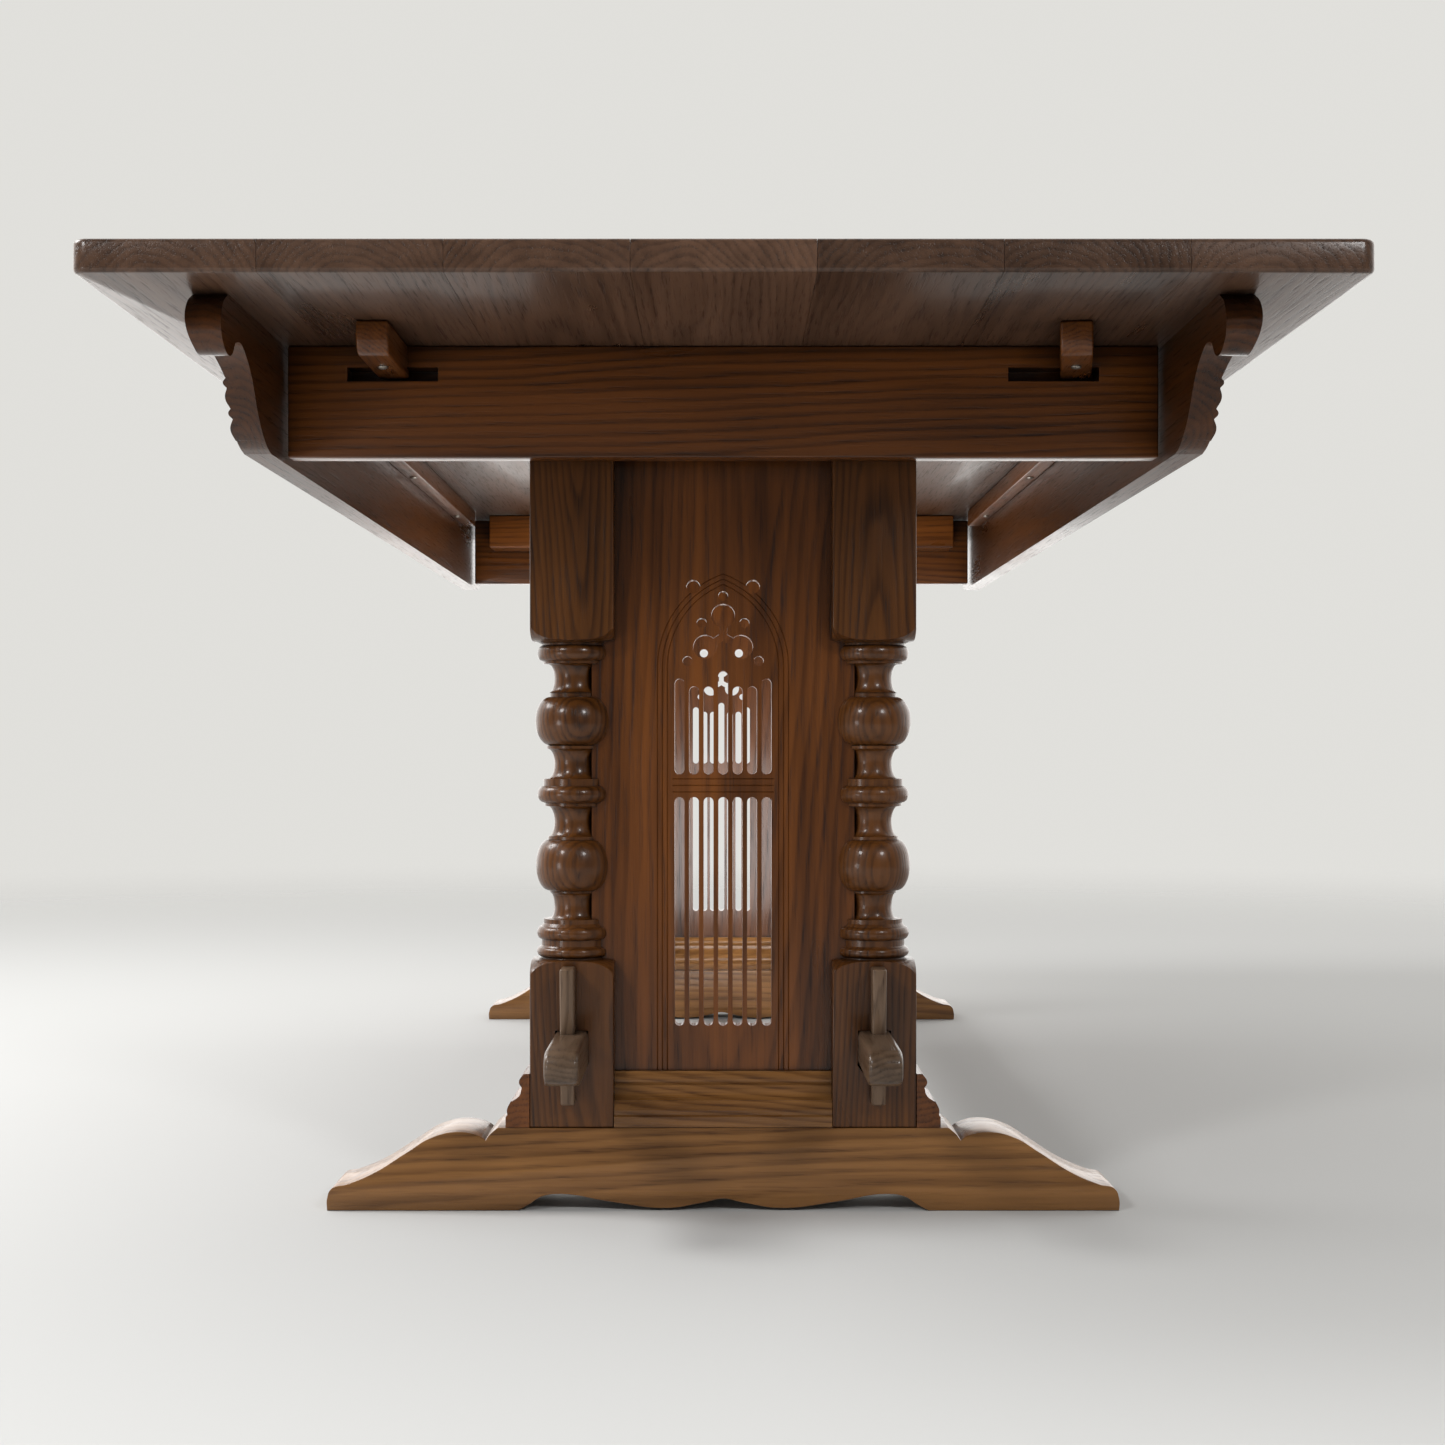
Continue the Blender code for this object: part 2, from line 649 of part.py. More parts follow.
def trefoil():
    """Three round lobes that meet at a narrow neck."""
    opening = math.degrees(math.asin(TREFOIL_NECK / TREFOIL_LOBE))
    loop = []
    for heading in (90, 210, 330):
        turn = math.radians(heading)
        centre = (TREFOIL_REACH * math.cos(turn), TREFOIL_CENTRE + TREFOIL_REACH * math.sin(turn))
        start = heading - 180 + opening
        loop += arc(centre, TREFOIL_LOBE, start, start + 360 - 2 * opening, 2 * ARC_STEPS)
        crotch = math.radians(heading + 60)
        reach = TREFOIL_NECK / math.sin(math.radians(60))
        loop.append((reach * math.cos(crotch), TREFOIL_CENTRE + reach * math.sin(crotch), False))
    return loop


def panel_loops():
    """A panel's outline, then its pierced tracery."""
    loops = [rectangle(-PANEL_HALF_WIDTH, PANEL_BOTTOM, PANEL_HALF_WIDTH, POST_TOP - FIT)]
    for number, top in enumerate(UPPER_LIGHT_TOPS):
        x = (number - len(UPPER_LIGHT_TOPS) // 2) * LIGHT_PITCH
        loops.append(round_ended_slot(x, UPPER_LIGHT_BOTTOM, top, LIGHT_WIDTH))
        loops.append(round_ended_slot(x, *LOWER_LIGHT, LIGHT_WIDTH))
    for x, z, radius in PIERCED_HOLES:
        loops += [circle((x, z), radius), circle((-x, z), radius)]
    loops += [circle(CROWN_HOLE[:2], CROWN_HOLE[2]), trefoil()]
    return loops


def plinth_loop(end):
    """Section of the moulded rail under a panel, the same on both faces."""
    base = POST_BOTTOM + FIT
    outer = [(end * (TRESTLE_Y + PANEL_OUT[1] + out), base + z, smooth) for out, z, smooth in PLINTH_MOULDING]
    inner = [(end * (TRESTLE_Y + PANEL_OUT[0] - out), base + z, smooth) for out, z, smooth in PLINTH_MOULDING]
    return outer + inner[::-1]


def make_plinth(shop, material, end, name):
    """Moulded rail between the posts, and its returns on their outer sides."""
    inner_face = POST_X - POST_SIZE / 2 - FIT
    mesh = side_outline(f"plinth_{name}", [plinth_loop(end)], -inner_face, inner_face)
    shop.piece(f"plinth_{name}", mesh, material)
    outer_face = POST_X + POST_SIZE / 2 + FIT
    base = POST_BOTTOM + FIT
    for side, side_name in ((-1, "left"), (1, "right")):
        loop = [(side * (outer_face + out), base + z, smooth) for out, z, smooth in PLINTH_MOULDING]
        loop += [(side * outer_face, base + PLINTH_HEIGHT, False), (side * outer_face, base, False)]
        label = f"return_moulding_{name}_{side_name}"
        depth = out_range(end, (-POST_SIZE / 2, POST_SIZE / 2))
        shop.piece(label, front_outline(label, [loop], *depth), material)


def make_trestle(shop, materials, end, name):
    turning = turned_profile()
    make_foot(shop, materials["foot"], end, f"foot_{name}")
    for side, side_name in ((-1, "left"), (1, "right")):
        make_post(shop, materials["turned"], turning, end, side, f"post_{name}_{side_name}")
    mesh = front_outline(f"panel_{name}", panel_loops(), *out_range(end, PANEL_OUT))
    shop.piece(f"panel_{name}", mesh, materials["oak"])
    make_plinth(shop, materials["oak"], end, name)
    make_bearer(shop, materials["oak"], end, f"bearer_{name}")
    make_apron(shop, materials["oak"], end, name)


def wedge_loop(end, clearance, low, high):
    """Side view of a wedge between two levels: straight against the post, tapered on the outer side."""
    face = TRESTLE_Y + POST_SIZE / 2
    slope = (WEDGE_DEPTH[1] - WEDGE_DEPTH[0]) / (WEDGE_TOP - WEDGE_BOTTOM)
    depths = [WEDGE_DEPTH[0] + slope * (z - WEDGE_BOTTOM) + clearance for z in (low, high)]
    inner = face + FIT - (0.006 if clearance else 0.0)
    return [
        (end * inner, low, False),
        (end * inner, high, False),
        (end * (face + FIT + depths[1]), high, False),
        (end * (face + FIT + depths[0]), low, False),
    ]


def make_stretcher(shop, material, side, name):
    """Long rail between the trestles, with a through tenon at each end, mortised for its wedge."""
    shoulder_y = TRESTLE_Y - POST_SIZE / 2 - FIT
    end_y = TRESTLE_Y + POST_SIZE / 2 + TENON_REACH
    tenon_top = TENON_BOTTOM + TENON_HEIGHT
    top = STRETCHER_BOTTOM + STRETCHER_SIZE[1]
    half_loop = [
        (shoulder_y, STRETCHER_BOTTOM, False),
        (shoulder_y, TENON_BOTTOM, False),
        (end_y - 0.006, TENON_BOTTOM, False),
        (end_y, TENON_BOTTOM + 0.006, False),
        (end_y, tenon_top - 0.006, False),
        (end_y - 0.006, tenon_top, False),
        (shoulder_y, tenon_top, False),
        (shoulder_y, top, False),
    ]
    loop = half_loop + [(-y, z, smooth) for y, z, smooth in half_loop[::-1]]
    low_x = side * POST_X - STRETCHER_SIZE[0] / 2
    high_x = side * POST_X + STRETCHER_SIZE[0] / 2
    stretcher = shop.piece(name, side_outline(name, [loop], low_x, high_x), material)
    reach = WEDGE_THICKNESS / 2 + FIT
    for end in (-1, 1):
        slot = wedge_loop(end, FIT, TENON_BOTTOM - 0.005, tenon_top + 0.005)
        mesh = side_outline(f"{name}_slot_{end}", [slot], side * WEDGE_X - reach, side * WEDGE_X + reach)
        shop.shape(stretcher, "DIFFERENCE", mesh)


def make_wedges(shop, material):
    """Loose wedges that draw the stretchers tight against the posts."""
    for end, end_name in ((-1, "front"), (1, "back")):
        for side, side_name in ((-1, "left"), (1, "right")):
            loop = wedge_loop(end, 0.0, WEDGE_BOTTOM, WEDGE_TOP)
            middle = side * WEDGE_X
            half = WEDGE_THICKNESS / 2
            name = f"wedge_{end_name}_{side_name}"
            shop.piece(name, side_outline(name, [loop], middle - half, middle + half), material)


def build():
    clear_scene()
    shop = Workshop()
    materials = make_materials()
    make_top(shop, materials["top"])
    make_rails(shop, materials["oak"])
    for end, name in ((-1, "front"), (1, "back")):
        make_trestle(shop, materials, end, name)
    make_stretcher(shop, materials["oak"], -1, "stretcher_left")
    make_stretcher(shop, materials["oak"], 1, "stretcher_right")
    make_wedges(shop, materials["oak"])
    make_buttons(shop, materials["oak"])
    make_screws(shop, materials["steel"])


build()
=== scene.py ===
"""Looks of the communion table: lacquered dark oak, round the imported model's fixed frame."""

import json
import math
import random

import bmesh
import bpy
from mathutils import Matrix, Vector


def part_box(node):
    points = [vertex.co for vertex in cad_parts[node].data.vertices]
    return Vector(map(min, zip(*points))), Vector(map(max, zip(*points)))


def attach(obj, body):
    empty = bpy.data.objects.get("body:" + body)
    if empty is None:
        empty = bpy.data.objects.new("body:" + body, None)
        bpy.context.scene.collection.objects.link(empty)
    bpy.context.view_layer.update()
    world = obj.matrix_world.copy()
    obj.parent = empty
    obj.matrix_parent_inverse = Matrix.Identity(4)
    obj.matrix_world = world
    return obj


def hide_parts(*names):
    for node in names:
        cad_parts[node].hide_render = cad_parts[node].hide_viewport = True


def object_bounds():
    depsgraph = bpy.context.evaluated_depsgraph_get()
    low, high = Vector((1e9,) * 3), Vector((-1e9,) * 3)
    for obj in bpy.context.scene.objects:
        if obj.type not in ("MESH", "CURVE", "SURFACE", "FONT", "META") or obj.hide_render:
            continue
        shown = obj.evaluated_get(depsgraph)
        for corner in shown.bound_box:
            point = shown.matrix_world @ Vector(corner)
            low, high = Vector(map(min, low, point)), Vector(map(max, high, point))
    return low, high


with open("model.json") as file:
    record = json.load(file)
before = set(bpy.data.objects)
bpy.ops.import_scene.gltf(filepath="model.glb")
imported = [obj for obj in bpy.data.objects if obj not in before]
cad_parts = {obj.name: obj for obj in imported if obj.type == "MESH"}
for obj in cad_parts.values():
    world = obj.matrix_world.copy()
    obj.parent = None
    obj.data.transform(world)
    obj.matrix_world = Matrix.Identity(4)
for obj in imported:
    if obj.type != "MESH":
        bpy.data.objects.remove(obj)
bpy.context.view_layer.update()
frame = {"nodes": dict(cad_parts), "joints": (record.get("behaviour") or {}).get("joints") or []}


def middle(node):
    low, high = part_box(node)
    return (low + high) / 2


def span(node):
    low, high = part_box(node)
    return high - low


FIT = 0.0003
PAST = 0.01  # how far a cutter runs past the wood

# Places and sizes read from the frame, metres
TRESTLE_Y = abs(middle("foot_front").y)
POST_X = middle("post_front_right").x
POST_HALF = span("post_front_right").x / 2
POST_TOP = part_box("panel_front")[1].z + FIT
POST_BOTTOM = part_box("foot_front")[1].z
SLOT_X = middle("button_back_right").x
BUTTON_HEIGHT = span("button_back_right").z
ENDS = ((-1, "front"), (1, "back"))
SIDES = ((-1, "left"), (1, "right"))

# Finish of the solids
OUTLINE_STEPS = 10
ARC_STEPS = 10
TURNING_SIDES = 72
SMOOTH_ANGLE = math.radians(32)
BOARD_ARRIS = 0.0035
ARRIS = 0.0012
SOFT_ARRIS = 0.0022
POST_ARRIS = 0.0013
APRON_ARRIS = 0.0016
WEDGE_ARRIS = 0.0016
FOOT_ARRIS = 0.0018
STRETCHER_ARRIS = 0.0055
ARRIS_ANGLE = math.radians(38)
TOP_CORNER_RADIUS = 0.012
BOARD_TONES = (1.0, 0.92, 1.08, 1.22, 0.95, 0.88, 0.97)

# Joinery: the "out" distances run outwards from the middle of a trestle
PANEL_OUT = (-0.002, 0.015)
GROOVE_BOTTOM = 0.0698
POST_TENON_OUT = (-0.026, -0.006)
POST_TENON_HALF_WIDTH = 0.020
POST_TENON_REACH = 0.022
POST_TENON_ROOT = 0.009
TENON_BOTTOM = 0.1250
TENON_TOP = 0.1540
TENON_HALF_WIDTH = 0.014
TENON_NOSE = 0.012
TENON_TIP = 0.003
TENON_ROUND = 0.005
WEDGE_HALF_WIDTH = 0.006
WEDGE_DEPTHS = (0.016, 0.028)  # at its foot and at its head
WEDGE_SLOT_INSET = 0.006
BUTTON_SLOT_HALF = 0.0385
BUTTON_SLOT_HEIGHTS = (0.7075, 0.7195)
BUTTON_HALF_WIDTH = 0.013
TURNED_BUTTON_ANGLE = math.radians(-9.0)
SCREW_HOLE = 0.0025
SCREW_SHANK = 0.0022
SCREW_HEAD = 0.0022
SCREW_POINT = 0.002
SCREW_DOME_STEPS = 8
SCREW_SIDES = 32
DRIVING_SLOT = (0.01, 0.0005, 0.0010)  # half length, half width, depth

# Turned part of a post, from the top down: kind, top, bottom, radius at the ends, radius at the middle
LOWER_BLOCK_TOP = 0.2138
UPPER_BLOCK_BOTTOM = 0.4896
SHOULDER_DROP = 0.016
SHOULDER_RADII = (0.033, 0.0512)
SHOULDER_STEPS = 10
BLANK_RADIUS = 0.056
BLANK_TOP = 0.75
TURNING = (
    ("fillet", 0.4878, 0.4862, 0.0290, 0.0290),
    ("bead", 0.4860, 0.4730, 0.0285, 0.0322),
    ("fillet", 0.4723, 0.4703, 0.0270, 0.0270),
    ("cove", 0.4700, 0.4450, 0.0225, 0.0175),
    ("fillet", 0.4448, 0.4415, 0.0212, 0.0212),
    ("bulb", 0.4415, 0.3994, 0.0215, 0.0342),
    ("fillet", 0.3989, 0.3964, 0.0240, 0.0240),
    ("cove", 0.3962, 0.3705, 0.0230, 0.0175),
    ("fillet", 0.3700, 0.3653, 0.0270, 0.0270),
    ("bead", 0.3640, 0.3495, 0.0270, 0.0322),
    ("fillet", 0.3490, 0.3465, 0.0260, 0.0260),
    ("cove", 0.3462, 0.3198, 0.0230, 0.0175),
    ("fillet", 0.3196, 0.3173, 0.0230, 0.0230),
    ("bulb", 0.3171, 0.2728, 0.0225, 0.0335),
    ("fillet", 0.2725, 0.2710, 0.0215, 0.0215),
    ("cove", 0.2708, 0.2484, 0.0212, 0.0175),
    ("fillet", 0.2482, 0.2445, 0.0267, 0.0267),
    ("bead", 0.2418, 0.2305, 0.0285, 0.0325),
    ("fillet", 0.2285, 0.2252, 0.0285, 0.0285),
    ("bead", 0.2239, 0.2156, 0.0295, 0.0325),
    ("fillet", 0.2150, 0.2142, 0.0290, 0.0290),
)
TURNING_STEPS = {"bead": 8, "cove": 12, "bulb": 20}

# Half of a foot's outline: distance from the middle, height, and whether the outline is smooth there
FOOT_UPPER = (
    (0.2005, 0.0649, True),
    (0.2039, 0.0600, False),
    (0.2087, 0.0634, True),
    (0.2265, 0.0674, True),
    (0.2500, 0.0627, True),
    (0.2717, 0.0497, True),
    (0.2991, 0.0326, True),
    (0.3238, 0.0222, True),
    (0.3361, 0.0188, True),
    (0.3400, 0.0100, True),
    (0.3400, 0.0000, False),
)
FOOT_UNDERSIDE = (
    (0.1761, 0.0000, False),
    (0.1668, 0.0051, True),
    (0.1558, 0.0119, True),
    (0.1394, 0.0141, True),
    (0.0983, 0.0078, True),
    (0.0490, 0.0021, True),
    (0.0163, 0.0070, True),
)
FOOT_CREST = 0.0102
FOOT_FLAT = 0.1940

# Scrolled end of a side rail: distance behind the scroll's nose, height
RAIL_SCROLL = (
    (0.0220, 0.7377, False),
    (0.0055, 0.7270, True),
    (0.0000, 0.7080, True),
    (0.0100, 0.6965, True),
    (0.0240, 0.6925, True),
    (0.0370, 0.6960, True),
    (0.0465, 0.7060, False),
    (0.0640, 0.7090, True),
    (0.0810, 0.7040, True),
    (0.1040, 0.6900, True),
    (0.1275, 0.6645, True),
    (0.1420, 0.6530, True),
    (0.1610, 0.6430, True),
    (0.1780, 0.6390, False),
)
# Moulded section of a side rail, outer face from the top down: distance out from the inner face, height
RAIL_MOULDING = (
    (0.0268, 0.7377, False),
    (0.0270, 0.7150, True),
    (0.0215, 0.6905, False),
    (0.0210, 0.6893, False),
    (0.0239, 0.6860, True),
    (0.0216, 0.6825, False),
    (0.0242, 0.6755, True),
    (0.0214, 0.6680, False),
    (0.0239, 0.6645, True),
    (0.0213, 0.6608, False),
    (0.0253, 0.6535, True),
    (0.0238, 0.6467, False),
    (0.0229, 0.6465, False),
    (0.0223, 0.6390, False),
)
# Plinth moulding round the foot of a trestle: distance out from its face, height above the foot
PLINTH_MOULDING = (
    (0.0205, 0.0000, False),
    (0.0205, 0.0090, False),
    (0.0190, 0.0105, False),
    (0.0193, 0.0150, True),
    (0.0160, 0.0225, False),
    (0.0148, 0.0225, False),
    (0.0085, 0.0275, True),
    (0.0067, 0.0340, False),
    (0.0090, 0.0390, True),
    (0.0050, 0.0460, False),
)

# Side view of a button: distance out from its screw, height above its lower face, smooth
BUTTON_OUTLINE = (
    (-0.064, 0.0, False),
    (-0.064, 0.008, False),
    (-0.050, 0.008, False),
    (-0.050, BUTTON_HEIGHT, False),
    (0.058, BUTTON_HEIGHT, False),
    (0.058, 0.011, False),
    (0.0555, 0.0045, True),
    (0.049, 0.0005, True),
    (0.044, 0.0, False),
)

# Pierced tracery of a panel
LIGHT_PITCH = 0.0126
LIGHT_WIDTH = 0.0086
UPPER_LIGHT_TOPS = (0.4572, 0.4505, 0.4505, 0.4638, 0.4505, 0.4505, 0.4572)
UPPER_LIGHT_BOTTOM = 0.3740
LOWER_LIGHT = (0.1558, 0.3543)
TREFOIL_CENTRE = 0.4938
TREFOIL_REACH = 0.0180
TREFOIL_LOBE = 0.0104
TREFOIL_NECK = 0.0035
PIERCED_HOLES = ((0.0259, 0.5370, 0.0060), (0.0186, 0.5055, 0.0043), (0.0309, 0.4725, 0.0043))
CROWN_HOLE = (0.0, 0.5290, 0.0043)
# Lines scratched round the tracery
ARCH_HALF_WIDTHS = (0.0569, 0.0526, 0.0483)
ARCH_SPRING = 0.4673
ARCH_APEX = 0.5482
ARCH_STEPS = 14
LINE_DEPTH = 0.0009
LINE_PROUD = 0.0003
TRANSOM_LINES = (0.3702, 0.3645, 0.3588)
TRANSOM_HALF_LENGTH = 0.0440
PIERCED_HALF_WIDTH = 0.045

# Outlines are drawn flat and stood up in one of three directions
FRONT = Matrix.Rotation(math.radians(90), 4, "X")
SIDE = Matrix(((0, 0, 1, 0), (1, 0, 0, 0), (0, 1, 0, 0), (0, 0, 0, 1)))


# ---------------------------------------------------------------- outlines and solids


def arc(centre, radius, start, end, steps=ARC_STEPS):
    """Corner points along an arc, angles in degrees."""
    angles = [math.radians(start + (end - start) * step / steps) for step in range(steps + 1)]
    return [(centre[0] + radius * math.cos(a), centre[1] + radius * math.sin(a), False) for a in angles]


def circle(centre, radius):
    return arc(centre, radius, 0, 360, 3 * ARC_STEPS)[:-1]


def round_ended_slot(x, bottom, top, width):
    radius = width / 2
    return arc((x, top - radius), radius, 0, 180) + arc((x, bottom + radius), radius, 180, 360)


def rectangle(low_u, low_v, high_u, high_v):
    corners = ((low_u, low_v), (high_u, low_v), (high_u, high_v), (low_u, high_v))
    return [(u, v, False) for u, v in corners]


def draw_loop(curve, loop):
    """Adds one closed loop of (u, v, smooth) points to a curve."""
    spline = curve.splines.new("BEZIER")
    spline.bezier_points.add(len(loop) - 1)
    spline.use_cyclic_u = True
    for knot, point in zip(spline.bezier_points, loop):
        knot.co = (point[0], point[1], 0.0)
    for knot, point in zip(spline.bezier_points, loop):
        knot.handle_left_type = knot.handle_right_type = "AUTO" if point[2] else "VECTOR"


def evaluated_mesh(item):
    """The mesh that an object's curve and modifiers make."""
    bpy.context.view_layer.update()
    return bpy.data.meshes.new_from_object(item.evaluated_get(bpy.context.evaluated_depsgraph_get()))


def extruded(name, loops, low, high, stand):
    """A mesh from flat loops, extruded from low to high along the frame's own third direction."""
    curve = bpy.data.curves.new(name, "CURVE")
    curve.dimensions = "2D"
    curve.fill_mode = "BOTH"
    curve.extrude = (high - low) / 2
    curve.resolution_u = OUTLINE_STEPS
    for loop in loops:
        draw_loop(curve, loop)
    holder = bpy.data.objects.new(name + "_outline", curve)
    bpy.context.scene.collection.objects.link(holder)
    holder.matrix_world = stand @ Matrix.Translation((0, 0, (low + high) / 2))
    mesh = evaluated_mesh(holder)
    mesh.transform(holder.matrix_world)
    bpy.data.objects.remove(holder, do_unlink=True)
    clean(mesh, len(loops) == 1)
    return mesh


def clean(mesh, merge_caps):
    """Welds a curve's loose caps, turns every face out, and makes each cap one face where it has no holes."""
    bm = bmesh.new()
    bm.from_mesh(mesh)
    bmesh.ops.remove_doubles(bm, verts=bm.verts, dist=0.00001)
    bmesh.ops.recalc_face_normals(bm, faces=bm.faces)
    if merge_caps:
        bmesh.ops.dissolve_limit(bm, angle_limit=math.radians(0.5), verts=bm.verts, edges=bm.edges)
    bm.to_mesh(mesh)
    bm.free()


def front_outline(name, loops, low_y, high_y):
    """Loops of (x, z) points, extruded along Y."""
    return extruded(name, loops, -high_y, -low_y, FRONT)


def side_outline(name, loops, low_x, high_x):
    """Loops of (y, z) points, extruded along X."""
    return extruded(name, loops, low_x, high_x, SIDE)


def block(name, low, high, edge=0.0):
    """A box whose twelve edges are eased by the given radius."""
    size = [b - a for a, b in zip(low, high)]
    centre = [(a + b) / 2 for a, b in zip(low, high)]
    mesh = bpy.data.meshes.new(name)
    bm = bmesh.new()
    place_and_size = Matrix.Translation(centre) @ Matrix.Diagonal((*size, 1.0))
    bmesh.ops.create_cube(bm, size=1.0, matrix=place_and_size)
    if edge:
        bmesh.ops.bevel(bm, geom=bm.edges, offset=edge, segments=3, profile=0.5, affect="EDGES")
    bm.to_mesh(mesh)
    bm.free()
    return mesh


def rod(name, x, y, low_z, high_z, radius):
    """An upright rod."""
    mesh = bpy.data.meshes.new(name)
    bm = bmesh.new()
    centre = Matrix.Translation((x, y, (low_z + high_z) / 2))
    depth = high_z - low_z
    bmesh.ops.create_cone(
        bm, cap_ends=True, segments=32, radius1=radius, radius2=radius, depth=depth, matrix=centre
    )
    bm.to_mesh(mesh)
    bm.free()
    return mesh


def profile_mesh(name, profile, x, y, sides):
    """A solid turned round an upright axis from (radius, z) points, top to bottom."""
    line = bpy.data.meshes.new(name + "_profile")
    edges = [(i, i + 1) for i in range(len(profile) - 1)]
    line.from_pydata([(radius, 0.0, z) for radius, z in profile], edges, [])
    holder = bpy.data.objects.new(name + "_profile", line)
    bpy.context.scene.collection.objects.link(holder)
    turn = holder.modifiers.new("turned", "SCREW")
    turn.steps = turn.render_steps = sides
    turn.use_merge_vertices = True
    turn.merge_threshold = 0.00005
    mesh = evaluated_mesh(holder)
    mesh.transform(Matrix.Translation((x, y, 0.0)))
    bpy.data.objects.remove(holder, do_unlink=True)
    return mesh


def shaped(name, mesh, cuts=(), edge=0.0):
    """An object from a mesh: first eased along its arrises, then cut, joined or intersected with others."""
    item = bpy.data.objects.new(name, mesh)
    bpy.context.scene.collection.objects.link(item)
    if edge:
        bevel = item.modifiers.new("arris", "BEVEL")
        bevel.width = edge
        bevel.segments = 3
        bevel.limit_method = "ANGLE"
        bevel.angle_limit = ARRIS_ANGLE
    tools = []
    for operation, tool_mesh in cuts:
        tool = bpy.data.objects.new(name + "_tool", tool_mesh)
        bpy.context.scene.collection.objects.link(tool)
        boolean = item.modifiers.new(operation.lower(), "BOOLEAN")
        boolean.operation = operation
        boolean.solver = "EXACT"
        boolean.object = tool
        tools.append(tool)
    final = evaluated_mesh(item)
    item.modifiers.clear()
    item.data = final
    final.name = name
    for tool in tools:
        bpy.data.objects.remove(tool, do_unlink=True)
    final.shade_smooth()
    final.set_sharp_from_angle(angle=SMOOTH_ANGLE)
    return item


def place(item, node, material, body="table"):
    """Puts a finished piece in a node's stead, on its body, with its material."""
    item.data.materials.clear()
    item.data.materials.append(material)
    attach(item, body)
    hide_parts(node)


def out_range(end, low, high):
    """The Y range of a stretch given as distances out from the trestle at one end, -1 or 1."""
    ends = sorted((end * (TRESTLE_Y + low), end * (TRESTLE_Y + high)))
    return ends[0], ends[1]


# ---------------------------------------------------------------- oak


class Nodes:
    """Short calls for building a node tree."""

    def __init__(self, tree):
        self.tree = tree

    def add(self, kind, **settings):
        node = self.tree.nodes.new(kind)
        for key, value in settings.items():
            setattr(node, key, value)
        return node

    def link(self, source, target):
        if isinstance(source, bpy.types.NodeSocket):
            self.tree.links.new(source, target)
        else:
            target.default_value = source

    def math(self, operation, a, b=0.0):
        node = self.add("ShaderNodeMath", operation=operation)
        self.link(a, node.inputs[0])
        self.link(b, node.inputs[1])
        return node.outputs[0]

    def vector(self, operation, a, b):
        node = self.add("ShaderNodeVectorMath", operation=operation)
        self.link(a, node.inputs[0])
        self.link(b, node.inputs[1])
        return node.outputs[0]

    def noise(self, vector, scale, detail=2.0, rough=0.5):
        node = self.add("ShaderNodeTexNoise")
        self.link(vector, node.inputs["Vector"])
        node.inputs["Scale"].default_value = scale
        node.inputs["Detail"].default_value = detail
        node.inputs["Roughness"].default_value = rough
        return node.outputs["Fac"]

    def remap(self, value, low, high, to_low=0.0, to_high=1.0, smooth=False):
        node = self.add("ShaderNodeMapRange")
        node.interpolation_type = "SMOOTHSTEP" if smooth else "LINEAR"
        for item, socket in zip((value, low, high, to_low, to_high), node.inputs):
            self.link(item, socket)
        return node.outputs[0]

    def mix(self, factor, a, b, blend="MIX"):
        node = self.add("ShaderNodeMix", data_type="RGBA", blend_type=blend)
        self.link(factor, node.inputs["Factor"])
        self.link(a, node.inputs[6])
        self.link(b, node.inputs[7])
        return node.outputs[2]


# For each direction of the grain, which coordinates run along it, across it and through the wood
GRAIN_ORDER = {"X": (0, 1, 2), "Y": (1, 0, 2), "Z": (2, 0, 1)}
# Darkest and lightest colour of each finish
OAK = {
    "top_oak": ((0.028, 0.0130, 0.0070), (0.108, 0.056, 0.033)),
    "lacquered_oak": ((0.022, 0.0060, 0.0011), (0.150, 0.046, 0.0075)),
    "turned_oak": ((0.020, 0.0060, 0.0012), (0.128, 0.044, 0.0085)),
    "foot_oak": ((0.070, 0.026, 0.0060), (0.275, 0.128, 0.040)),
    # Greyer oak of the stretchers and wedges: its grey is partly painted sheen, copied from the sheen on the
    # tenon ends
    "sheen_grey_oak": ((0.055, 0.030, 0.0160), (0.210, 0.135, 0.0850)),
}


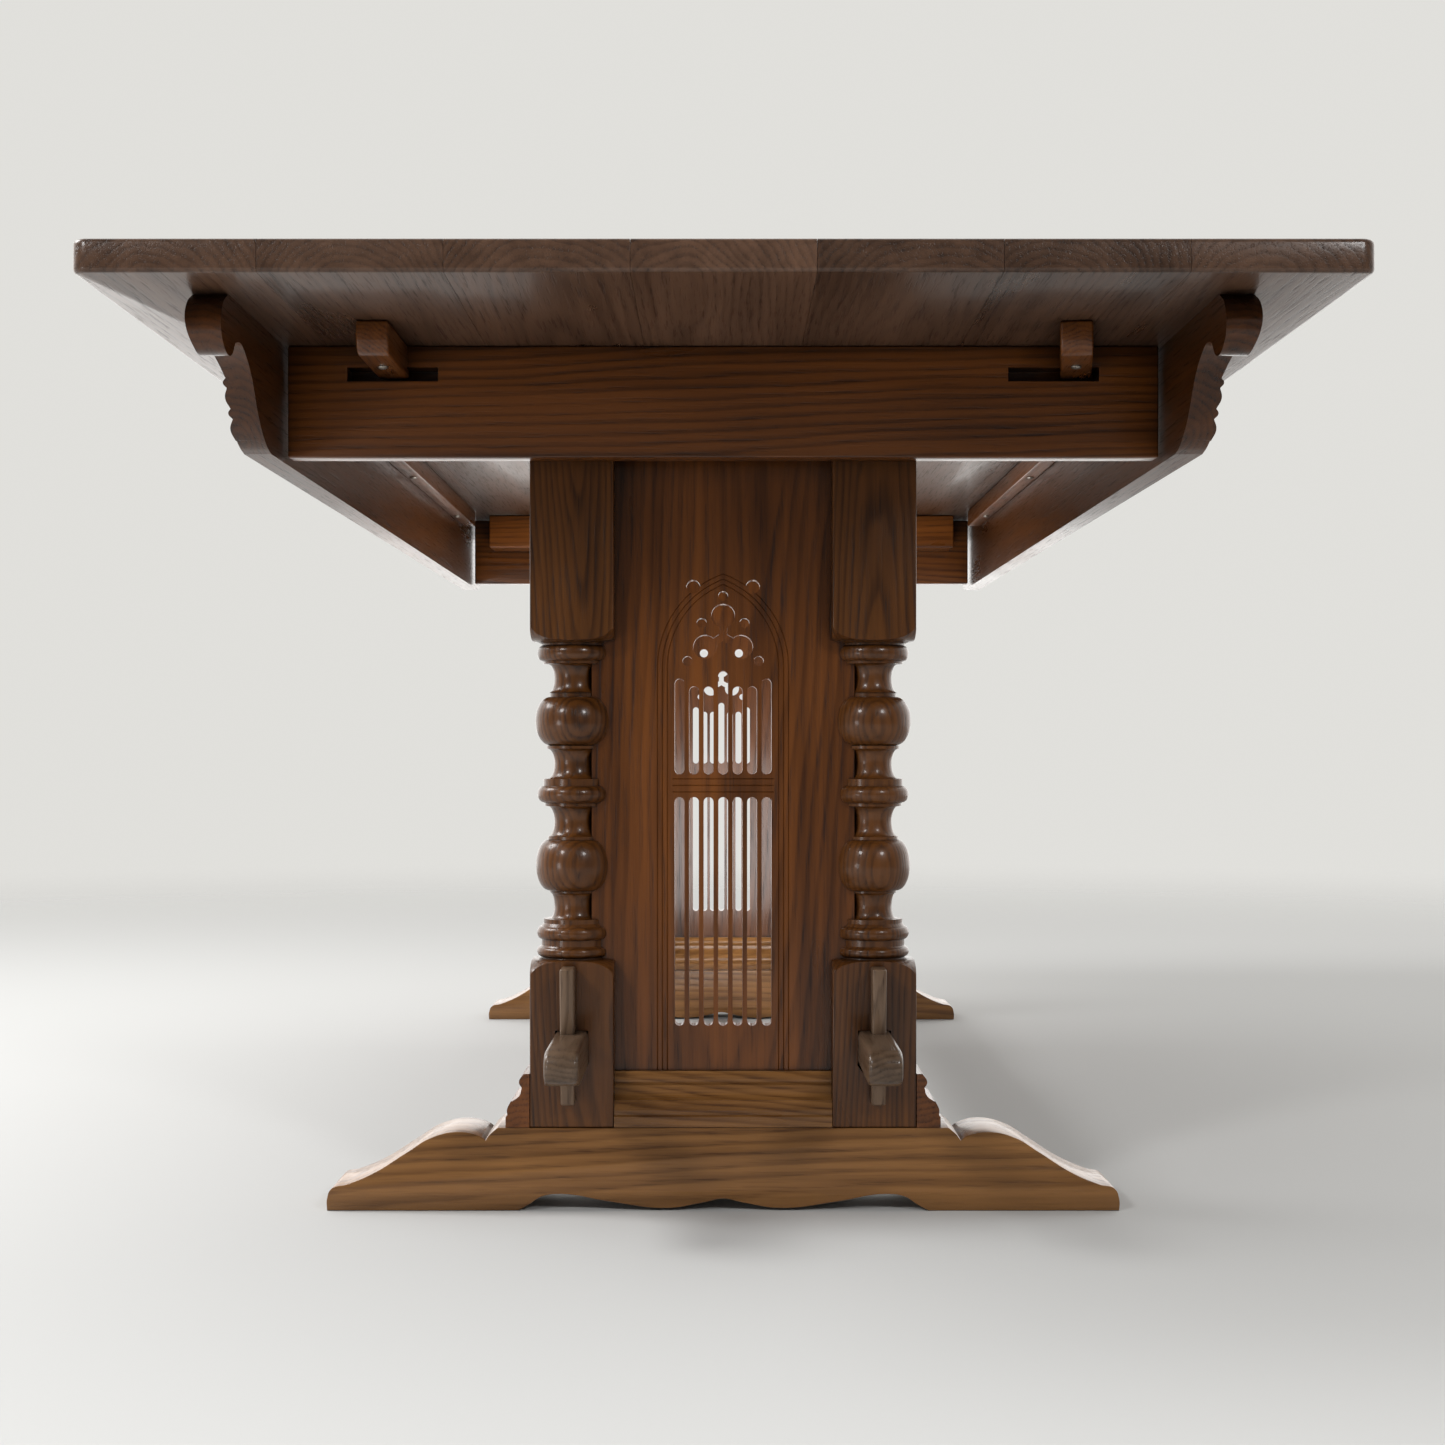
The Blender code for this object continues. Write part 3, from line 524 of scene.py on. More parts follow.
def oak(
    node, finish, axis, seed, ring=0.0055, tone=1.0, shade=0.75, pith=0.055, figure=0.24, halo=0.035
):
    """Lacquered oak for one piece: rings round a pith of its own, open pores, streaks, and painted shade
    darkening its corners.
    """
    rng = random.Random(seed)
    material = bpy.data.materials.new(f"{finish}_{node}")
    material.use_nodes = True
    n = Nodes(material.node_tree)
    shader = material.node_tree.nodes["Principled BSDF"]
    where = n.add("ShaderNodeTexCoord").outputs["Object"]
    local = n.vector("SUBTRACT", where, tuple(middle(node)))
    split = n.add("ShaderNodeSeparateXYZ")
    n.link(local, split.inputs[0])
    along, across, through = (split.outputs[i] for i in GRAIN_ORDER[axis])
    grain = n.add("ShaderNodeCombineXYZ")
    n.link(n.math("ADD", along, rng.uniform(-5, 5)), grain.inputs[0])
    n.link(n.math("ADD", across, rng.uniform(-5, 5)), grain.inputs[1])
    n.link(n.math("ADD", through, rng.uniform(-5, 5)), grain.inputs[2])
    grain = grain.outputs[0]
    length = span(node)[GRAIN_ORDER[axis][0]]
    rings = ring_lines(n, rng, grain, (along, across, through), ring, pith, length)
    pores = n.noise(n.vector("MULTIPLY", grain, (24.0, 520.0, 520.0)), 1.0, 2.0, 0.6)
    pores = n.remap(pores, 0.50, 0.68, smooth=True)
    pores = n.math("MULTIPLY", pores, n.remap(rings, 0.0, 1.0, 1.0, 0.45))
    streak = n.noise(n.vector("MULTIPLY", grain, (1.8, 70.0, 70.0)), 1.0, 5.0, 0.62)
    cloud = n.noise(n.vector("MULTIPLY", grain, (3.0, 11.0, 11.0)), 1.0, 3.0, 0.5)
    streaks = n.remap(streak, 0.25, 0.75, 0.0, 0.62)
    light = n.math("ADD", n.math("MULTIPLY", rings, figure), streaks)
    light = n.math("ADD", light, n.remap(cloud, 0.3, 0.7, -0.22, 0.22))
    light = n.math("SUBTRACT", light, n.math("MULTIPLY", pores, 0.26))
    dark_colour, light_colour = ((*[c * tone for c in colour], 1.0) for colour in OAK[finish])
    colour = n.mix(n.remap(light, -0.10, 0.85), dark_colour, light_colour)
    # Painted shade: darker colour in corners, hollows and between parts
    if shade:
        colour = paint_shade_in_recesses(n, colour, shade, halo)
    n.link(colour, shader.inputs["Base Color"])
    rough = n.remap(n.math("ADD", cloud, n.math("MULTIPLY", pores, 0.5)), 0.3, 1.0, 0.26, 0.46)
    n.link(rough, shader.inputs["Roughness"])
    shader.inputs["Coat Weight"].default_value = 0.24
    shader.inputs["Coat Roughness"].default_value = 0.13
    shader.inputs["Specular IOR Level"].default_value = 0.24
    bump = n.add("ShaderNodeBump")
    bump.inputs["Strength"].default_value = 0.45
    bump.inputs["Distance"].default_value = 0.0003
    height = n.math("SUBTRACT", n.math("MULTIPLY", rings, 0.3), pores)
    n.link(height, bump.inputs["Height"])
    n.link(bump.outputs[0], shader.inputs["Normal"])
    return material


def ring_lines(n, rng, grain, axes, ring, pith, length):
    """Growth rings, from 0 where dark to 1 where light, wandering a little along the grain."""
    along, across, through = axes
    warp = n.noise(n.vector("MULTIPLY", grain, (1.5, 9.0, 9.0)), 1.0, 3.0, 0.55)
    fine = n.noise(n.vector("MULTIPLY", grain, (9.0, 110.0, 110.0)), 1.0, 2.0, 0.5)
    lean = 0.6 * pith / max(length, 0.3)
    side = n.math("MULTIPLY", along, rng.uniform(-lean, lean))
    side = n.math("ADD", side, n.math("SUBTRACT", across, rng.uniform(-0.4 * pith, 0.4 * pith)))
    tilt = n.math("MULTIPLY", along, rng.choice((-lean, lean)))
    deep = n.math("ADD", tilt, n.math("ADD", through, pith))
    square = n.math("ADD", n.math("MULTIPLY", side, side), n.math("MULTIPLY", deep, deep))
    reach = n.math("SQRT", square)
    reach = n.math("ADD", reach, n.remap(warp, 0.0, 1.0, -0.35 * pith, 0.35 * pith))
    reach = n.math("ADD", reach, n.remap(fine, 0.0, 1.0, -0.0015, 0.0015))
    saw = n.math("FRACT", n.math("DIVIDE", reach, ring))
    rise = n.remap(saw, 0.0, 0.55, smooth=True)
    fall = n.remap(saw, 0.80, 1.0, 1.0, 0.0, smooth=True)
    return n.math("MULTIPLY", rise, fall)


def paint_shade_in_recesses(n, colour, shade, halo):
    """Painted shade: the colour is darkened in corners, in hollows and where other parts stand close, as the
    ambient occlusion finds them; it stands also for stain left darker in the hollows. Open faces keep their
    colour.
    """
    hollow = n.add("ShaderNodeAmbientOcclusion", samples=4)
    hollow.inputs["Distance"].default_value = halo
    open_face = n.remap(hollow.outputs["AO"], 0.15, 0.85, 1.0 - shade, 1.0, smooth=True)
    tint = n.add("ShaderNodeCombineColor")
    for socket in tint.inputs:
        n.link(open_face, socket)
    return n.mix(1.0, colour, tint.outputs[0], "MULTIPLY")


def worn_steel():
    """Dull screw steel with dirt in its scratches."""
    material = bpy.data.materials.new("screw_steel")
    material.use_nodes = True
    n = Nodes(material.node_tree)
    shader = material.node_tree.nodes["Principled BSDF"]
    where = n.add("ShaderNodeTexCoord").outputs["Object"]
    dirt = n.noise(where, 900.0, 4.0, 0.6)
    n.link(n.mix(dirt, (0.10, 0.085, 0.07, 1.0), (0.42, 0.38, 0.33, 1.0)), shader.inputs["Base Color"])
    n.link(n.remap(dirt, 0.2, 0.8, 0.55, 0.3), shader.inputs["Roughness"])
    shader.inputs["Metallic"].default_value = 1.0
    bump = n.add("ShaderNodeBump")
    bump.inputs["Strength"].default_value = 0.3
    bump.inputs["Distance"].default_value = 0.0001
    n.link(dirt, bump.inputs["Height"])
    n.link(bump.outputs[0], shader.inputs["Normal"])
    return material


# ---------------------------------------------------------------- the table's pieces


def make_top():
    """The whole top is eased round its edge, then sawn into its boards."""
    low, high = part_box("top_board_1")[0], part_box("top_board_7")[1]
    radius = TOP_CORNER_RADIUS
    inset_x, inset_y = high.x - radius, high.y - radius
    loop = arc((inset_x, inset_y), radius, 0, 90) + arc((-inset_x, inset_y), radius, 90, 180)
    loop += arc((-inset_x, -inset_y), radius, 180, 270) + arc((inset_x, -inset_y), radius, 270, 360)
    slab = extruded("whole_top", [loop], low.z, high.z, Matrix.Identity(4))
    whole = shaped("whole_top", slab, edge=BOARD_ARRIS)
    for number, tone in enumerate(BOARD_TONES, 1):
        node = f"top_board_{number}"
        board_low, board_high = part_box(node)
        bm = bmesh.new()
        bm.from_mesh(whole.data)
        for limit, normal in ((board_low.x, (-1, 0, 0)), (board_high.x, (1, 0, 0))):
            if abs(limit) < high.x - 0.001:
                geometry = bm.verts[:] + bm.edges[:] + bm.faces[:]
                cut = bmesh.ops.bisect_plane(
                    bm, geom=geometry, plane_co=(limit, 0, 0), plane_no=normal, clear_outer=True
                )
                edges = [item for item in cut["geom_cut"] if isinstance(item, bmesh.types.BMEdge)]
                bmesh.ops.contextual_create(bm, geom=edges)
        bmesh.ops.recalc_face_normals(bm, faces=bm.faces)
        mesh = bpy.data.meshes.new(node)
        bm.to_mesh(mesh)
        bm.free()
        cuts = []
        for screw in screw_nodes():
            centre = middle(screw)
            if board_low.x < centre.x < board_high.x:
                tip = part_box(screw)[1].z + FIT
                hole = rod(screw, centre.x, centre.y, low.z - PAST, tip, SCREW_HOLE)
                cuts.append(("DIFFERENCE", hole))
        board = shaped(f"{node}_oak", mesh, cuts)
        material = oak(node, "top_oak", "Y", number, ring=0.0060, tone=tone, shade=0.55)
        place(board, node, material)
    bpy.data.objects.remove(whole, do_unlink=True)


def screw_nodes():
    return sorted(name for name in frame["nodes"] if "screw" in name)


def rail_loop():
    """Side view of a rail: scrolled alike at both ends."""
    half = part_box("side_rail_left")[1].y
    far = [(half - s, z, smooth) for s, z, smooth in RAIL_SCROLL]
    return far + [(-y, z, smooth) for y, z, smooth in far[::-1]]


def make_rails():
    """Scrolled and moulded side rails, and the battens beside them."""
    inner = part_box("side_rail_right")[0].x
    low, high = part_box("side_rail_right")
    for side, side_name in SIDES:
        node = f"side_rail_{side_name}"
        section = [(side * inner, high.z, False)]
        section += [(side * (inner + out), z, smooth) for out, z, smooth in RAIL_MOULDING]
        section.append((side * inner, low.z, False))
        run = front_outline(node, [section], low.y - PAST, high.y + PAST)
        reach = sorted((side * (inner - PAST), side * (high.x + PAST)))
        scrolls = side_outline(node + "_scrolls", [rail_loop()], *reach)
        rail = shaped(f"{node}_oak", run, [("INTERSECT", scrolls)])
        material = oak(node, "lacquered_oak", "Y", 20 + side, tone=0.64, shade=0.5)
        place(rail, node, material)
        node = f"batten_{side_name}"
        batten_low, batten_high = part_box(node)
        cuts = []
        for number in (1, 2, 3):
            centre = middle(f"batten_screw_{side_name}_{number}")
            ends = batten_low.z - PAST, batten_high.z + PAST
            cuts.append(("DIFFERENCE", rod(node, centre.x, centre.y, *ends, SCREW_HOLE)))
        batten = shaped(f"{node}_oak", block(node, batten_low, batten_high, ARRIS), cuts)
        place(batten, node, oak(node, "lacquered_oak", "Y", 24 + side, tone=1.3))


def make_screws(steel):
    """Round-headed wood screws with a driving slot."""
    for node in screw_nodes():
        low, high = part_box(node)
        centre = (low + high) / 2
        radius = (high.x - low.x) / 2
        shoulder_z = low.z + SCREW_HEAD
        profile = [(0.0, high.z), (SCREW_SHANK, high.z - SCREW_POINT)]
        profile += [(SCREW_SHANK, shoulder_z), (radius, shoulder_z)]
        for step in range(1, SCREW_DOME_STEPS):
            angle = math.radians(90) * step / SCREW_DOME_STEPS
            profile.append((radius * math.cos(angle), low.z + SCREW_HEAD * (1 - math.sin(angle))))
        profile.append((0.0, low.z))
        half_length, half_width, depth = DRIVING_SLOT
        slot_low = (centre.x - half_length, centre.y - half_width, low.z - depth)
        slot_high = (centre.x + half_length, centre.y + half_width, low.z + depth)
        cuts = [("DIFFERENCE", block(node, slot_low, slot_high))]
        mesh = profile_mesh(node, profile, centre.x, centre.y, SCREW_SIDES)
        screw = shaped(f"{node}_steel", mesh, cuts)
        place(screw, node, steel)


def make_buttons():
    """Buttons shaped like their nodes, with eased edges."""
    joints = {joint["child"]: joint for joint in frame["joints"]}
    for end, end_name in ENDS:
        for side, side_name in SIDES:
            node = f"button_{end_name}_{side_name}"
            low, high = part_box(node)
            pivot = joints[node]["pos_m"]
            loop = [(end * out, low.z + up, smooth) for out, up, smooth in BUTTON_OUTLINE]
            mesh = side_outline(node, [loop], -BUTTON_HALF_WIDTH, BUTTON_HALF_WIDTH)
            angle = TURNED_BUTTON_ANGLE if (end, side) == (-1, 1) else 0.0
            hole = rod(node, 0.0, 0.0, low.z - PAST, high.z + PAST, SCREW_HOLE)
            button = shaped(f"{node}_oak", mesh, [("DIFFERENCE", hole)], edge=SOFT_ARRIS)
            turn = Matrix.Rotation(angle, 4, "Z")
            button.data.transform(Matrix.Translation((pivot[0], pivot[1], 0.0)) @ turn)
            seed = 30 + 2 * end + side
            material = oak(node, "lacquered_oak", "Y", seed, ring=0.003, tone=1.25, shade=0.5)
            place(button, node, material, node)


def turned_profile():
    """Outline of a post's lathe work, top to bottom, wide enough at the blocks to leave them square."""
    profile = [(0.0, BLANK_TOP), (BLANK_RADIUS, BLANK_TOP)]
    profile.append((BLANK_RADIUS, UPPER_BLOCK_BOTTOM + SHOULDER_DROP))
    profile += shoulder(UPPER_BLOCK_BOTTOM, 1)
    for kind, top, bottom, radius, middle_radius in TURNING:
        profile += moulding_points(kind, top, bottom, radius, middle_radius)
    profile += shoulder(LOWER_BLOCK_TOP, -1)[::-1]
    profile += [(BLANK_RADIUS, LOWER_BLOCK_TOP - SHOULDER_DROP), (BLANK_RADIUS, 0.0), (0.0, 0.0)]
    return profile


def shoulder(level, up):
    """Quarter of an ellipse from a block's corners in to its shoulder."""
    inner, outer = SHOULDER_RADII
    points = []
    for step in range(SHOULDER_STEPS + 1):
        angle = math.radians(90) * (1 - step / SHOULDER_STEPS)
        radius = inner + (outer - inner) * math.sin(angle)
        points.append((radius, level + up * SHOULDER_DROP * (1 - math.cos(angle))))
    return points


def moulding_points(kind, top, bottom, radius, middle_radius):
    """Points of one bead, cove, bulb or fillet."""
    if kind == "fillet":
        return [(radius, top), (radius, bottom)]
    steps = TURNING_STEPS[kind]
    centre, half = (top + bottom) / 2, (top - bottom) / 2
    points = []
    for step in range(steps + 1):
        angle = math.pi * step / steps
        swell = (middle_radius - radius) * math.sin(angle)
        points.append((radius + swell, centre + half * math.cos(angle)))
    return points


def tenon_box(centre_x, end, bottom, top, clearance):
    """Box of a post's tenon, or with a clearance of its mortise."""
    inner, outer = POST_TENON_OUT
    low_y, high_y = out_range(end, inner - clearance, outer + clearance)
    half = POST_TENON_HALF_WIDTH + clearance
    return (centre_x - half, low_y, bottom), (centre_x + half, high_y, top)


def make_posts():
    profile = turned_profile()
    for end, end_name in ENDS:
        for side, side_name in SIDES:
            node = f"post_{end_name}_{side_name}"
            x, y = side * POST_X, end * TRESTLE_Y
            low = (x - POST_HALF, y - POST_HALF, POST_BOTTOM + FIT)
            high = (x + POST_HALF, y + POST_HALF, POST_TOP)
            panel_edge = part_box("panel_front")[1].x + FIT
            groove_x = sorted((side * (POST_X - POST_HALF - PAST), side * panel_edge))
            groove_y = out_range(end, PANEL_OUT[0] - FIT, PANEL_OUT[1] + FIT)
            through_y = out_range(end, -POST_HALF - PAST, POST_HALF + PAST)
            node_low, node_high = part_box(node)
            foot_tenon = tenon_box(x, end, node_low.z, POST_BOTTOM + POST_TENON_ROOT, 0.0)
            head_tenon = tenon_box(x, end, POST_TOP - POST_TENON_ROOT, node_high.z, 0.0)
            groove_low = groove_x[0], groove_y[0], GROOVE_BOTTOM
            groove_high = groove_x[1], groove_y[1], POST_TOP + 0.001
            half = TENON_HALF_WIDTH + FIT
            mortise_low = x - half, through_y[0], TENON_BOTTOM - FIT
            mortise_high = x + half, through_y[1], TENON_TOP + FIT
            cuts = [
                ("INTERSECT", profile_mesh(node, profile, x, y, TURNING_SIDES)),
                ("UNION", block(node, *foot_tenon)),
                ("UNION", block(node, *head_tenon)),
                ("DIFFERENCE", block(node, groove_low, groove_high)),
                ("DIFFERENCE", block(node, mortise_low, mortise_high)),
            ]
            post = shaped(f"{node}_oak", block(node, low, high, POST_ARRIS), cuts)
            seed = 40 + 2 * end + side
            material = oak(node, "turned_oak", "Z", seed, 0.0045, tone=0.92, shade=0.7, figure=0.35)
            place(post, node, material)


def make_feet():
    for end, end_name in ENDS:
        node = f"foot_{end_name}"
        right = [(FOOT_FLAT, POST_BOTTOM, False), *FOOT_UPPER, *FOOT_UNDERSIDE]
        left = [(-x, z, smooth) for x, z, smooth in right][::-1]
        loop = right + [(0.0, FOOT_CREST, True)] + left
        low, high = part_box(node)
        mesh = front_outline(node, [loop], low.y, high.y)
        cuts = []
        for side in (-1, 1):
            bottom = POST_BOTTOM - POST_TENON_REACH - FIT
            mortise = tenon_box(side * POST_X, end, bottom, POST_BOTTOM + PAST, FIT)
            cuts.append(("DIFFERENCE", block(node, *mortise)))
        foot = shaped(f"{node}_oak", mesh, cuts, edge=FOOT_ARRIS)
        material = oak(node, "foot_oak", "X", 50 + end, ring=0.0085, shade=0.6, pith=0.04, figure=0.32)
        place(foot, node, material)


def trefoil():
    """Three round lobes that meet at a narrow neck."""
    opening = math.degrees(math.asin(TREFOIL_NECK / TREFOIL_LOBE))
    loop = []
    for heading in (90, 210, 330):
        turn = math.radians(heading)
        centre = (TREFOIL_REACH * math.cos(turn), TREFOIL_CENTRE + TREFOIL_REACH * math.sin(turn))
        start = heading - 180 + opening
        loop += arc(centre, TREFOIL_LOBE, start, start + 360 - 2 * opening, 3 * ARC_STEPS)
        crotch = math.radians(heading + 60)
        reach = TREFOIL_NECK / math.sin(math.radians(60))
        loop.append((reach * math.cos(crotch), TREFOIL_CENTRE + reach * math.sin(crotch), False))
    return loop


def panel_loops(low, high):
    """A panel's outline, then its pierced tracery."""
    loops = [rectangle(low.x, low.z, high.x, high.z)]
    for number, top in enumerate(UPPER_LIGHT_TOPS):
        x = (number - len(UPPER_LIGHT_TOPS) // 2) * LIGHT_PITCH
        loops.append(round_ended_slot(x, UPPER_LIGHT_BOTTOM, top, LIGHT_WIDTH))
        loops.append(round_ended_slot(x, *LOWER_LIGHT, LIGHT_WIDTH))
    for x, z, radius in PIERCED_HOLES:
        loops += [circle((x, z), radius), circle((-x, z), radius)]
    loops += [circle(CROWN_HOLE[:2], CROWN_HOLE[2]), trefoil()]
    return loops


def scratch(name, points, y):
    """A thin rod along a line of (x, z) points, that scratches a panel's face."""
    curve = bpy.data.curves.new(name, "CURVE")
    curve.dimensions = "3D"
    curve.bevel_depth = LINE_DEPTH
    curve.bevel_resolution = 0
    curve.use_fill_caps = True
    spline = curve.splines.new("POLY")
    spline.points.add(len(points) - 1)
    for knot, (x, z) in zip(spline.points, points):
        knot.co = (x, y, z, 1.0)
    holder = bpy.data.objects.new(name, curve)
    bpy.context.scene.collection.objects.link(holder)
    mesh = evaluated_mesh(holder)
    bpy.data.objects.remove(holder, do_unlink=True)
    clean(mesh, False)
    return mesh


def arch_points(half_width, bottom):
    """A pointed arch on two straight legs."""
    outer = ARCH_HALF_WIDTHS[0]
    rise = ARCH_APEX - ARCH_SPRING
    radius = (outer**2 + rise**2) / (2 * outer)
    centre = radius - outer
    own = radius - (outer - half_width)
    top = math.acos(centre / own)
    angles = [top * step / ARCH_STEPS for step in range(ARCH_STEPS + 1)]
    right = [(own * math.cos(a) - centre, ARCH_SPRING + own * math.sin(a)) for a in angles]
    half = [(half_width, bottom), *right]
    return [(-x, z) for x, z in half] + half[::-1][1:]


def make_panels():
    for end, end_name in ENDS:
        node = f"panel_{end_name}"
        low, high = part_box(node)
        mesh = front_outline(node, panel_loops(low, high), low.y, high.y)
        face_y = (low.y if end < 0 else high.y) + end * LINE_PROUD
        cuts = []
        for half_width in ARCH_HALF_WIDTHS:
            line = arch_points(half_width, low.z - 0.001)
            cuts.append(("DIFFERENCE", scratch("arch", line, face_y)))
        for z in TRANSOM_LINES:
            line = [(-TRANSOM_HALF_LENGTH, z), (TRANSOM_HALF_LENGTH, z)]
            cuts.append(("DIFFERENCE", scratch("transom", line, face_y)))
        panel = shaped(f"{node}_oak", mesh, cuts)
        seed = 60 + end
        # Strong, wide painted shade: the panel is darkened beside the posts and under the apron
        material = oak(
            node, "lacquered_oak", "Z", seed, 0.0085, 1.15, 0.90, 0.06, figure=0.22, halo=0.06
        )
        place(panel, node, material)
        # Painted light: the walls inside the piercings get a far lighter oak with no shade, for the light
        # from behind that catches them
        painted_lit_walls = oak(node, "lacquered_oak", "Z", 62 + end, 0.0085, 3.0, 0.0, 0.06)
        panel.data.materials.append(painted_lit_walls)
        for face in panel.data.polygons:
            pierced = abs(face.center.x) < PIERCED_HALF_WIDTH and abs(face.normal.y) < 0.3
            face.material_index = 1 if pierced else 0


def make_plinths():
    """Moulded rails under the panels, and their returns outside the posts."""
    for end, end_name in ENDS:
        node = f"plinth_{end_name}"
        low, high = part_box(node)
        base = low.z
        inner_y, outer_y = TRESTLE_Y + PANEL_OUT[0], TRESTLE_Y + PANEL_OUT[1]
        outer = [(end * (outer_y + out), base + z, smooth) for out, z, smooth in PLINTH_MOULDING]
        inner = [(end * (inner_y - out), base + z, smooth) for out, z, smooth in PLINTH_MOULDING]
        plinth = shaped(f"{node}_oak", side_outline(node, [outer + inner[::-1]], low.x, high.x))
        # The plinth gets the foot's lighter oak, made lighter still: painted light for the floor's light
        # reflected on it
        material = oak(node, "foot_oak", "X", 70 + end, tone=1.15, shade=0.6)
        place(plinth, node, material)
        for side, side_name in SIDES:
            node = f"return_moulding_{end_name}_{side_name}"
            low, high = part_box(node)
            face = min(abs(low.x), abs(high.x))
            loop = [(side * (face + out), base + z, smooth) for out, z, smooth in PLINTH_MOULDING]
            loop += [(side * face, high.z, False), (side * face, base, False)]
            moulding = shaped(f"{node}_oak", front_outline(node, [loop], low.y, high.y))
            material = oak(node, "lacquered_oak", "Y", 74 + 2 * end + side, tone=1.25, shade=0.7)
            place(moulding, node, material)


def make_cross_pieces():
    """Bearers across the posts, and aprons with their slots."""
    for end, end_name in ENDS:
        node = f"bearer_{end_name}"
        cuts = []
        for side in (-1, 1):
            top = POST_TOP + POST_TENON_REACH + FIT
            mortise = tenon_box(side * POST_X, end, POST_TOP - PAST, top, FIT)
            cuts.append(("DIFFERENCE", block(node, *mortise)))
        bearer = shaped(f"{node}_oak", block(node, *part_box(node), SOFT_ARRIS), cuts)
        place(bearer, node, oak(node, "lacquered_oak", "X", 80 + end, tone=1.5))
        node = f"apron_{end_name}"
        low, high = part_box(node)
        cuts = []
        for side in (-1, 1):
            x = side * SLOT_X
            slot_low = x - BUTTON_SLOT_HALF, low.y - PAST, BUTTON_SLOT_HEIGHTS[0]
            slot_high = x + BUTTON_SLOT_HALF, high.y + PAST, BUTTON_SLOT_HEIGHTS[1]
            cuts.append(("DIFFERENCE", block(node, slot_low, slot_high)))
        apron = shaped(f"{node}_oak", block(node, low, high, APRON_ARRIS), cuts)
        seed = 84 + end
        material = oak(node, "lacquered_oak", "X", seed, 0.0080, 0.95, 0.7, 0.045, figure=0.42)
        place(apron, node, material)


def wedge_loop(end, node, clearance, low_z, high_z):
    """Side view of a wedge between two levels: straight against the post, tapered on the outer side."""
    low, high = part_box(node)
    face = TRESTLE_Y + POST_HALF + FIT
    foot_depth, head_depth = WEDGE_DEPTHS
    slope = (head_depth - foot_depth) / (high.z - low.z)
    depths = [foot_depth + slope * (z - low.z) + clearance for z in (low_z, high_z)]
    inner = face - (WEDGE_SLOT_INSET if clearance else 0.0)
    return [
        (end * inner, low_z, False),
        (end * inner, high_z, False),
        (end * (face + depths[1]), high_z, False),
        (end * (face + depths[0]), low_z, False),
    ]


def make_stretchers():
    """Stretchers with rounded tenon ends, slotted for the wedges driven through them."""
    for side, side_name in SIDES:
        node = f"stretcher_{side_name}"
        low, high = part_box(node)
        shoulder_y = TRESTLE_Y - POST_HALF - FIT
        half_loop = [
            (shoulder_y, low.z, False),
            (shoulder_y, TENON_BOTTOM, False),
            (high.y - TENON_NOSE, TENON_BOTTOM, False),
            (high.y - TENON_TIP, TENON_BOTTOM + TENON_ROUND, True),
            (high.y, (TENON_BOTTOM + TENON_TOP) / 2, True),
            (high.y - TENON_TIP, TENON_TOP - TENON_ROUND, True),
            (high.y - TENON_NOSE, TENON_TOP, False),
            (shoulder_y, TENON_TOP, False),
            (shoulder_y, high.z, False),
        ]
        loop = half_loop + [(-y, z, smooth) for y, z, smooth in half_loop[::-1]]
        cuts = []
        for end, end_name in ENDS:
            wedge = f"wedge_{end_name}_{side_name}"
            slot = wedge_loop(end, wedge, FIT, TENON_BOTTOM - PAST / 2, TENON_TOP + PAST / 2)
            half = WEDGE_HALF_WIDTH + FIT
            reach = middle(wedge).x - half, middle(wedge).x + half
            cuts.append(("DIFFERENCE", side_outline(node, [slot], *reach)))
        mesh = side_outline(node, [loop], low.x, high.x)
        stretcher = shaped(f"{node}_oak", mesh, cuts, edge=STRETCHER_ARRIS)
        # Greyer oak, partly painted sheen
        material = oak(node, "sheen_grey_oak", "Y", 90 + side, tone=0.65, shade=0.5)
        place(stretcher, node, material)


def make_wedges():
    for end, end_name in ENDS:
        for side, side_name in SIDES:
            node = f"wedge_{end_name}_{side_name}"
            low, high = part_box(node)
            mesh = side_outline(node, [wedge_loop(end, node, 0.0, low.z, high.z)], low.x, high.x)
            wedge = shaped(f"{node}_oak", mesh, edge=WEDGE_ARRIS)
            # Greyer oak, partly painted sheen
            material = oak(node, "sheen_grey_oak", "Z", 94 + 2 * end + side, ring=0.003, shade=0.5)
            place(wedge, node, material, node)


# ---------------------------------------------------------------- studio

BACKDROP = (0.750, 0.742, 0.712)
FLOOR_COLOUR = (0.545, 0.547, 0.540)
FLOOR_SIZE = 14.0
FLOOR_DROP = 0.0002
FLOOR_FADE = (1.5, 5.0)
WORLD_COLOUR = (1.0, 0.985, 0.96)
WORLD_STRENGTH = (0.16, 2.3)  # on the camera's side and beyond the table
LAMPS = (
    # name, position, aim, size, watts
    ("key", (-1.9, -2.9, 2.1), (0.0, -0.65, 0.25), 0.55, 34.0),
    ("fill", (1.6, -3.1, 1.9), (0.0, -0.65, 0.25), 0.55, 26.0),
    ("overhead", (-2.6, -0.2, 2.6), (0.4, 0.2, 0.0), 1.5, 95.0),
    ("low", (-1.7, -2.3, 0.2), (0.0, -0.65, 0.05), 0.5, 6.0),
    ("under", (0.0, 0.05, 0.25), (0.0, 0.5, 0.72), 0.4, 3.8),
)
LENS = 53.4
SHIFT = (0.0024, 0.0176)
CAMERA_SIDE = -0.0035
CAMERA_DISTANCE = 1.876  # from the near trestle
CAMERA_HEIGHT = 0.397


